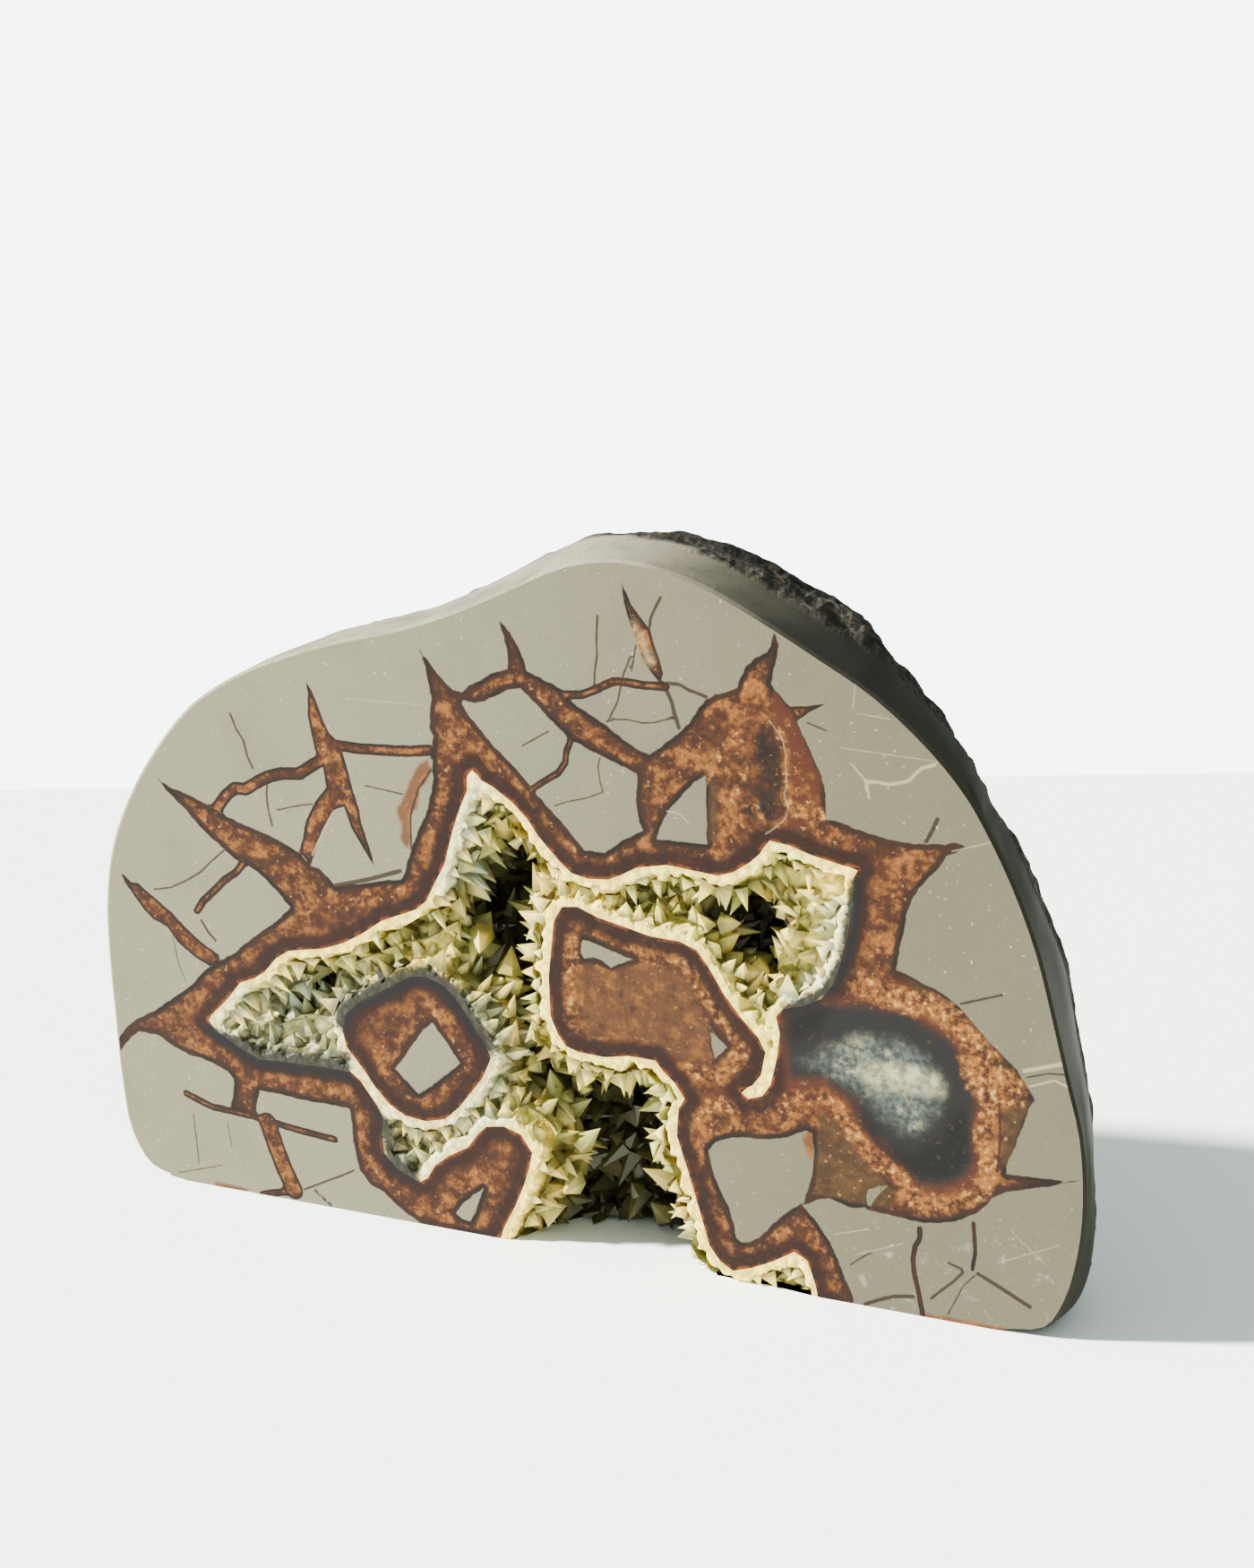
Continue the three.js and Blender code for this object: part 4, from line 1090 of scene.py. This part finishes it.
@dataclass
class Stone(CutBlock):
    """The stone: cut face, ground edge, weathered rind and the walls of the hollow."""

    worn: int = 6  # rounds of smoothing that take the facets off
    still: float = 0.0008  # depth behind the cut face that the smoothing leaves alone, m
    ground_depth: float = 10.5  # ground edge behind the cut face, mm
    top_depth: float = 2  # how much deeper it is at the upper right, mm
    left_depth: float = 5  # how much deeper it is at the upper left, mm
    waver: float = 2.2  # how far its end wanders, mm
    waver_size: float = 11  # mm
    turn: float = 2.0  # over which the ground edge becomes rind, mm
    weathering: float = 0.55  # height of the rind's roughness, mm
    lump_size: float = 4.5  # of that roughness, mm
    ledges: float = 0.66  # height of the steps at the upper right, mm
    ledge_size: float = 9  # mm
    hollow_depth: float = 24.5  # behind the cut face, mm
    top: Zone = Zone((18, 40), (78, 96))
    left: Zone = Zone((30, 0), (60, 90))
    stepped: Zone = Zone((22, 38), (55, 84))

    def wear(self, shape: bmesh.types.BMesh) -> None:
        """Smooths the skin away from the cut face and the base.

        Args:
            shape: The skin.
        """
        moving = [v for v in shape.verts if v.co.y > FACE_Y + self.still and v.co.z > ON_FACE]
        for _ in range(self.worn):
            bmesh.ops.smooth_vert(shape, verts=moving, factor=0.5, use_axis_x=True,
                                  use_axis_y=True, use_axis_z=True)

    def roughness(self, points: np.ndarray, depth: np.ndarray) -> np.ndarray:
        """How weathered each corner is, 0 on the ground edge to 1 on the rind.

        Args:
            points: x and z in millimetres.
            depth: Millimetres behind the cut face.

        Returns:
            One share for each corner.
        """
        size = self.waver_size
        waver = np.array([noise.noise(Vector((x / size, d / size, z / size)))
                          for (x, z), d in zip(points, depth)])
        start = (self.ground_depth + self.top_depth * self.top.holds(*points.T)
                 + self.left_depth * self.left.holds(*points.T) + self.waver * waver)
        return smooth(depth, start, start + self.turn) * (depth > 1)

    def weather(self, shape: bmesh.types.BMesh) -> None:
        """Roughens the rind along its normals.

        Args:
            shape: The skin.
        """
        shape.normal_update()
        depth = np.array([v.co.y - FACE_Y for v in shape.verts]) / MM
        rough = self.roughness(flattened(shape.verts), depth)
        for vert, share, deep in zip(shape.verts, rough, depth):
            if share > 0 and vert.co.z > ON_FACE and not self.in_hollow(vert, deep):
                at = vert.co / MM
                lumps = noise.fractal(at / self.lump_size, *LUMPS)
                step = round(2.5 * noise.noise(at / self.ledge_size + ELSEWHERE)) / 2
                steps = self.ledges * self.stepped.holds(at.x, at.z) * step
                vert.co += vert.normal * float(share * (self.weathering * lumps + steps) * MM)
                vert.co.z = max(vert.co.z, 0.0)

    def in_hollow(self, vert: bmesh.types.BMVert, deep: float) -> bool:
        """Whether a corner, deep mm behind the face, is on the hollow's walls or its floor."""
        flat = abs(vert.normal.y) < 1e-3 or vert.normal.y < -0.99
        return flat and deep < self.hollow_depth

    def build(self) -> bpy.types.Object:
        """Builds and dresses the stone.

        Returns:
            The stone.
        """
        shape = self.open_skin()
        self.wear(shape)
        self.weather(shape)
        lines = [VEIN_EDGE, *WINDOWS, *SPURS]
        lines += [line for _, line in NARROW_VEINS + CRACKS + PALE_LINES]
        drawn = [tuple(p for p in line if p[1] > LOWEST_DRAWN) for line in lines]
        self.close(shape, [line for line in drawn if len(line) > 1])
        made = self.piece(shape, "nodule_stone",
                          [RindFinish().material(), CutFaceFinish().material()])
        self.trace(made.data)
        return made

    def trace(self, mesh: bpy.types.Mesh) -> None:
        """Stores the tracings' distances at the corners of the cut face.

        Args:
            mesh: The stone's mesh.
        """
        points, depth = face_points(mesh)
        front = depth < 0.01
        at = Tracing(points[front])
        vein = np.minimum(at.areas((VEIN_EDGE,)), -at.areas(WINDOWS))
        spurs = np.maximum(at.areas(SPURS), at.strokes(NARROW_VEINS))
        layers = {
            "vein": np.maximum(vein, 2 * spurs), "away": at.to_crust()[0],
            "crack": at.strokes(CRACKS), "pale": at.strokes(PALE_LINES),
            "gold": np.maximum(at.strokes(GOLD_BANDS), at.areas(GOLD_AREAS)),
            **{name: at.areas(outlines) for name, outlines in (
                ("pool", DARK_AREAS), ("deepest", DARKEST_AREAS), ("milk", MILKY_AREAS),
                ("cream", CREAM_AREAS), ("olive", OLIVE_AREAS), ("grainy", GRAINY_AREAS),
                ("amber_and_lit_edge", AMBER_AND_LIT_EDGE_AREAS), ("russet", RUSSET_AREAS), ("smoke", SMOKY_AREAS))},
        }
        for name, values in layers.items():
            full = np.full(len(points), -FAR)
            full[front] = values
            write(mesh, name, full)
        write(mesh, "rough", self.roughness(points, depth))


@dataclass(frozen=True)
class CrystalGrowth:
    """Geometry nodes that stand pointed crystals on the walls and bed of the crust."""

    spacing: float = 0.0018  # between crystals, m
    length: float = 0.0040  # of a crystal, m
    girth: float = 0.0021  # radius of a crystal's foot, m
    sides: int = 6
    density: float = 400000.0  # most places tried on a square metre
    behind_face: float = 0.0002  # how far behind the cut face the first ones stand, m
    over_base: float = 0.0008  # how far above the base the first ones stand, m
    rearward: float = 0.7  # a wall that faces back more than this bears none
    room: float = 1.6  # space they need inside the rim, mm
    lean: tuple[Triple, Triple] = ((-0.45, -0.5, -0.45), (0.45, 0.15, 0.45))
    sizes: tuple[Triple, Triple] = ((0.5, 0.5, 0.45), (1.45, 1.45, 1.6))
    shorter: float = 0.17  # share of its size that a turned crystal loses

    def tree(self) -> bpy.types.NodeTree:
        """Builds the tree, which ends in plain geometry with its material.

        Returns:
            The tree, with its sizes as named inputs.
        """
        tree = bpy.data.node_groups.new("grow_crystals", "GeometryNodeTree")
        make = tree.interface.new_socket
        make("Geometry", in_out="INPUT", socket_type="NodeSocketGeometry")
        for name, kind in (("Spacing", "Float"), ("Length", "Float"), ("Girth", "Float"),
                           ("Seed", "Int"), ("Face", "Float"), ("Finish", "Material")):
            make(name, in_out="INPUT", socket_type="NodeSocket" + kind)
        make("Geometry", in_out="OUTPUT", socket_type="NodeSocketGeometry")

        def add(kind: str, inputs: dict | None = None, **settings: object) -> bpy.types.Node:
            """Adds a node, sets its properties, and sets or links its inputs."""
            node = tree.nodes.new(kind)
            for name, value in settings.items():
                setattr(node, name, value)
            for name, value in (inputs or {}).items():
                if isinstance(value, bpy.types.NodeSocket):
                    tree.links.new(value, node.inputs[name])
                else:
                    node.inputs[name].default_value = value
            return node

        def over(value: object, limit: object) -> bpy.types.NodeSocket:
            """Whether a number is over a limit."""
            return add("FunctionNodeCompare", {0: value, 1: limit},
                       operation="GREATER_THAN").outputs[0]

        def stored(name: str, kind: str) -> bpy.types.NodeSocket:
            """What the mesh stores under a name."""
            return add("GeometryNodeInputNamedAttribute", {"Name": name},
                       data_type=kind).outputs[0]

        def store(geometry: bpy.types.NodeSocket, name: str,
                  value: bpy.types.NodeSocket) -> bpy.types.NodeSocket:
            """Geometry with a number stored at its points."""
            return add("GeometryNodeStoreNamedAttribute", {
                "Geometry": geometry, "Name": name, "Value": value},
                data_type="FLOAT", domain="POINT").outputs[0]

        def chance(limits: tuple[object, object], seed: int, kind: str) -> bpy.types.Node:
            """A random number or vector between two limits."""
            return add("FunctionNodeRandomValue", {
                "Min": limits[0], "Max": limits[1], "Seed": seed}, data_type=kind)

        given = add("NodeGroupInput").outputs
        place = add("GeometryNodeInputPosition").outputs[0]
        parts = add("ShaderNodeSeparateXYZ", {0: place}).outputs
        facing = add("GeometryNodeInputNormal").outputs[0]
        normal = add("ShaderNodeSeparateXYZ", {0: facing}).outputs
        start = add("ShaderNodeMath", {0: given["Face"], 1: self.behind_face}, operation="ADD")
        chosen = over(parts["Y"], start.outputs[0])
        for condition in (over(parts["Z"], self.over_base), over(self.rearward, normal["Y"]),
                          over(stored("room", "FLOAT"), self.room)):
            chosen = add("FunctionNodeBooleanMath", {0: chosen, 1: condition}).outputs[0]
        spots = add("GeometryNodeDistributePointsOnFaces", {
            "Mesh": given["Geometry"], "Selection": chosen, "Distance Min": given["Spacing"],
            "Density Max": self.density, "Seed": given["Seed"]},
            distribute_method="POISSON").outputs
        cone = add("GeometryNodeMeshCone", {
            "Vertices": self.sides, "Radius Top": 0.0, "Radius Bottom": given["Girth"],
            "Depth": given["Length"]}, fill_type="NGON").outputs["Mesh"]
        rise = add("ShaderNodeMath", {0: parts["Z"], 1: given["Length"]}, operation="DIVIDE")
        crystal = store(cone, "tip", rise.outputs[0])
        toned = store(spots["Points"], "tone", chance((0.0, 1.0), 11, "FLOAT").outputs[1])
        aim = stored("aim", "FLOAT_VECTOR")
        lean = chance(self.lean, 3, "FLOAT_VECTOR").outputs[0]
        led = add("ShaderNodeVectorMath", {0: aim, 1: lean}, operation="ADD").outputs[0]
        way = add("ShaderNodeVectorMath", {0: spots["Normal"], 1: led}, operation="ADD")
        turn = add("FunctionNodeAlignRotationToVector", {"Vector": way.outputs[0]}, axis="Z")
        pull = add("ShaderNodeVectorMath", {0: aim}, operation="LENGTH").outputs["Value"]
        shrink = add("ShaderNodeMath", {0: pull, 1: -self.shorter, 2: 1.0},
                     operation="MULTIPLY_ADD")
        sizes = chance(self.sizes, 5, "FLOAT_VECTOR").outputs[0]
        size = add("ShaderNodeVectorMath", {0: sizes, "Scale": shrink.outputs[0]},
                   operation="SCALE")
        stood = add("GeometryNodeInstanceOnPoints", {
            "Points": toned, "Instance": crystal, "Rotation": turn.outputs[0],
            "Scale": size.outputs[0]})
        real = add("GeometryNodeRealizeInstances", {"Geometry": stood.outputs[0]})
        flat = add("GeometryNodeSetShadeSmooth", {"Geometry": real.outputs[0],
                                                  "Shade Smooth": False})
        dressed = add("GeometryNodeSetMaterial", {"Geometry": flat.outputs[0],
                                                  "Material": given["Finish"]})
        add("NodeGroupOutput", {0: dressed.outputs[0]})
        return tree

    def grown_on(self, base: bpy.types.Mesh, finish: bpy.types.Material) -> bpy.types.Mesh:
        """Covers a mesh with crystals.

        Args:
            base: The crust, with its room and aim stored.
            finish: The crystals' material.

        Returns:
            The crystals as one plain mesh.
        """
        tree = self.tree()
        host = placed("crystal_host", base.copy())
        modifier = host.modifiers.new("crystals", "NODES")
        modifier.node_group = tree
        values = {"Spacing": self.spacing, "Length": self.length, "Girth": self.girth,
                  "Seed": 7, "Face": FACE_Y, "Finish": finish}
        for item in tree.interface.items_tree:
            if item.name in values:
                modifier[item.identifier] = values[item.name]
        host.update_tag()
        bpy.context.view_layer.update()
        ready = host.evaluated_get(bpy.context.evaluated_depsgraph_get())
        mesh = bpy.data.meshes.new_from_object(ready)
        bpy.data.objects.remove(host)
        return mesh


@dataclass
class Crust(CutBlock):
    """The calcite crust: its sawn rim, and the base that the small crystals stand on."""

    wall_gap: float = 0.45  # corners this near the stone are its outer wall, mm
    closed_up: float = 0.9  # share of the way to the stone that they are moved
    rim: Point = (1.5, 3.2)  # from the vein, where the rim begins to drop and where it ends, mm
    sunk: float = 3.4  # how far it drops behind the cut face, mm
    ragged: float = 0.35  # share by which the drop varies
    wander: float = 1.3  # how far the rim's inner edge wanders, mm
    wander_size: float = 1.8  # mm
    turned: Point = (2.0, 7.0)  # depths over which crystals cease to lie along the face, mm
    inward: float = 1.7  # how strongly those near the face point into the hollow
    flattened_by: float = 0.8  # how strongly they are kept from pointing out of it
    bare: Point = (3.4, 3.0)  # none stand past this from the vein and before this depth, mm

    def build(self) -> list[bpy.types.Object]:
        """Builds and dresses the crust and its crystals.

        Returns:
            The crust and the crystals.
        """
        shape = self.open_skin()
        self.meet_stone(shape)
        self.close(shape, [])
        self.sink(shape)
        finish = CalciteFinish(CrystalTone.POINTS).material()
        made = self.piece(shape, "calcite_crust",
                          [finish, CalciteFinish(CrystalTone.RIM).material()])
        self.trace(made.data)
        self.aim(made.data)
        crystals = CrystalGrowth().grown_on(made.data, finish)
        crystals.name = "hollow_crystals"
        for vert in crystals.vertices:
            vert.co.y = max(vert.co.y, FACE_Y + CLEAR)
            vert.co.z = max(vert.co.z, CLEAR)
        self.trace(crystals)
        return [made, self.stand_in("hollow_crystals", crystals)]

    def meet_stone(self, shape: bmesh.types.BMesh) -> None:
        """Moves the crust's outer wall up to the stone, a hair short of touching.

        Args:
            shape: The crust.
        """
        points = flattened(shape.verts)
        gaps, places = Tracing(points).to_crust()
        moved = points + self.closed_up * (places - points)
        for vert, gap, (x, z) in zip(shape.verts, gaps, moved):
            if gap < self.wall_gap and vert.co.z > ON_FACE:
                vert.co.x, vert.co.z = x * MM, z * MM

    def from_vein(self, points: np.ndarray) -> np.ndarray:
        """Distance of each point from the vein, made uneven, mm."""
        size = self.wander_size
        wander = [self.wander * noise.noise(Vector((x / size, 0, z / size))) for x, z in points]
        return Tracing(points).to_crust()[0] + np.array(wander)

    def sink(self, shape: bmesh.types.BMesh) -> None:
        """Lowers the rim behind the cut face away from the vein, so that crystals stand in it.

        Args:
            shape: The crust.
        """
        front = [v for v in shape.verts if v.co.y < FACE_Y + ON_FACE]
        away = self.from_vein(flattened(front))
        for vert, drop in zip(front, smooth(away, *self.rim) * self.sunk):
            vert.co.y += drop * MM * (1 + self.ragged * noise.noise(vert.co / MM / 2.5))

    @staticmethod
    def trace(mesh: bpy.types.Mesh) -> None:
        """Stores where the crust is bluish or smoky, and how far it is from the vein.

        Args:
            mesh: The crust's mesh, or its crystals'.
        """
        at = Tracing(face_points(mesh)[0])
        write(mesh, "blue", at.areas(BLUE_AREAS))
        write(mesh, "smoky", at.areas(SMOKY_AREAS))
        write(mesh, "crust", at.to_crust()[0])

    def aim(self, mesh: bpy.types.Mesh) -> None:
        """Stores how much room crystals have inside the rim, and which way they are turned.

        Near the cut face they lie along it and point into the hollow.

        Args:
            mesh: The crust's mesh.
        """
        points, depth = face_points(mesh)
        into = points - Tracing(points).to_crust()[1]
        into /= np.maximum(np.linalg.norm(into, axis=1), ON_VEIN)[:, None]
        near = 1 - smooth(depth, *self.turned)
        facing = np.array([max(-v.normal.y, 0.0) for v in mesh.vertices])
        write(mesh, "aim", np.column_stack((into[:, 0] * near * self.inward,
                                            facing * near * self.flattened_by,
                                            into[:, 1] * near * self.inward)))
        room = self.from_vein(points)
        room[(room > self.bare[0]) & (depth < self.bare[1])] = 0
        write(mesh, "room", room)


@dataclass(frozen=True)
class Studio:
    """Floor, light and camera."""

    camera_place: Triple = (0.18682, -0.44951, 0.22637)
    camera_back: Triple = (0.3653, -0.8838, 0.2924)
    lens: float = 67.886
    sun_azimuth: float = -67.5
    sun_elevation: float = 31.0
    sun_power: float = 28.5
    sun_softness: float = 5.0  # degrees across
    sun_colour: Triple = (1.0, 0.97, 0.92)
    sky_power: float = 0.9
    backdrop_power: float = 7.5
    sky_colour: tuple[float, float, float, float] = (0.86, 1.0, 0.94, 1)
    table_colour: tuple[float, float, float, float] = (0.96, 1.0, 0.965, 1)
    table_edge: tuple[Point, Point] = ((-0.245, 0.168), (0.054, 0.308))  # x, y of its back edge
    table_reach: float = 3.0

    def floor(self) -> None:
        """A pale floor under the stone."""
        left, right = (Vector((x, y, 0)) for x, y in self.table_edge)
        along = (right - left).normalized() * self.table_reach
        front = Vector((along.y, -along.x, 0))
        mesh = bpy.data.meshes.new("floor")
        mesh.from_pydata([left - along + front, right + along + front, right + along,
                          left - along], [], [(0, 1, 2, 3)])
        paint = Paint("pale_floor")
        mesh.materials.append(paint.dress(
            Base_Color=self.table_colour, Roughness=0.7,
            Normal=paint.bump(paint.grain(1.2, 3), 0.15, 0.3)))
        placed("floor", mesh)

    def light(self) -> None:
        """A soft low sun from the front left and an even pale sky."""
        lamp = bpy.data.lights.new("sun", "SUN")
        lamp.energy = self.sun_power
        lamp.angle = math.radians(self.sun_softness)
        lamp.color = self.sun_colour
        a, e = math.radians(self.sun_azimuth), math.radians(self.sun_elevation)
        back = Vector((math.sin(a) * math.cos(e), -math.cos(a) * math.cos(e), math.sin(e)))
        placed("sun", lamp).rotation_euler = (-back).to_track_quat("-Z", "Y").to_euler()
        world = bpy.data.worlds.new("pale_sky")
        world.use_nodes = True
        tree = world.node_tree
        seen, path = tree.nodes.new("ShaderNodeMapRange"), tree.nodes.new("ShaderNodeLightPath")
        seen.inputs["To Min"].default_value = self.sky_power
        seen.inputs["To Max"].default_value = self.backdrop_power
        background = tree.nodes["Background"]
        background.inputs["Color"].default_value = self.sky_colour
        tree.links.new(path.outputs["Is Camera Ray"], seen.inputs["Value"])
        tree.links.new(seen.outputs["Result"], background.inputs["Strength"])
        bpy.context.scene.world = world

    def camera(self) -> None:
        """The camera at the photograph's viewing angle."""
        data = bpy.data.cameras.new("camera")
        data.lens = self.lens
        made = placed("camera", data)
        made.location = self.camera_place
        made.rotation_euler = (-Vector(self.camera_back)).to_track_quat("-Z", "Y").to_euler()
        bpy.context.scene.camera = made


def main() -> None:
    """Builds the object's pieces and the studio round them."""
    logging.basicConfig(level=logging.INFO, format="%(name)s: %(message)s")
    studio = Studio()
    studio.camera()
    studio.light()
    studio.floor()
    stone = Stone("nodule", cuts=3, face_grain=0.75)
    crust = Crust("crystal_crust", cuts=1, face_grain=0.6)
    for piece in (stone.build(), *crust.build()):
        LOG.info("%s has %d faces", piece.name, len(piece.data.polygons))


if __name__ == "__main__":
    main()
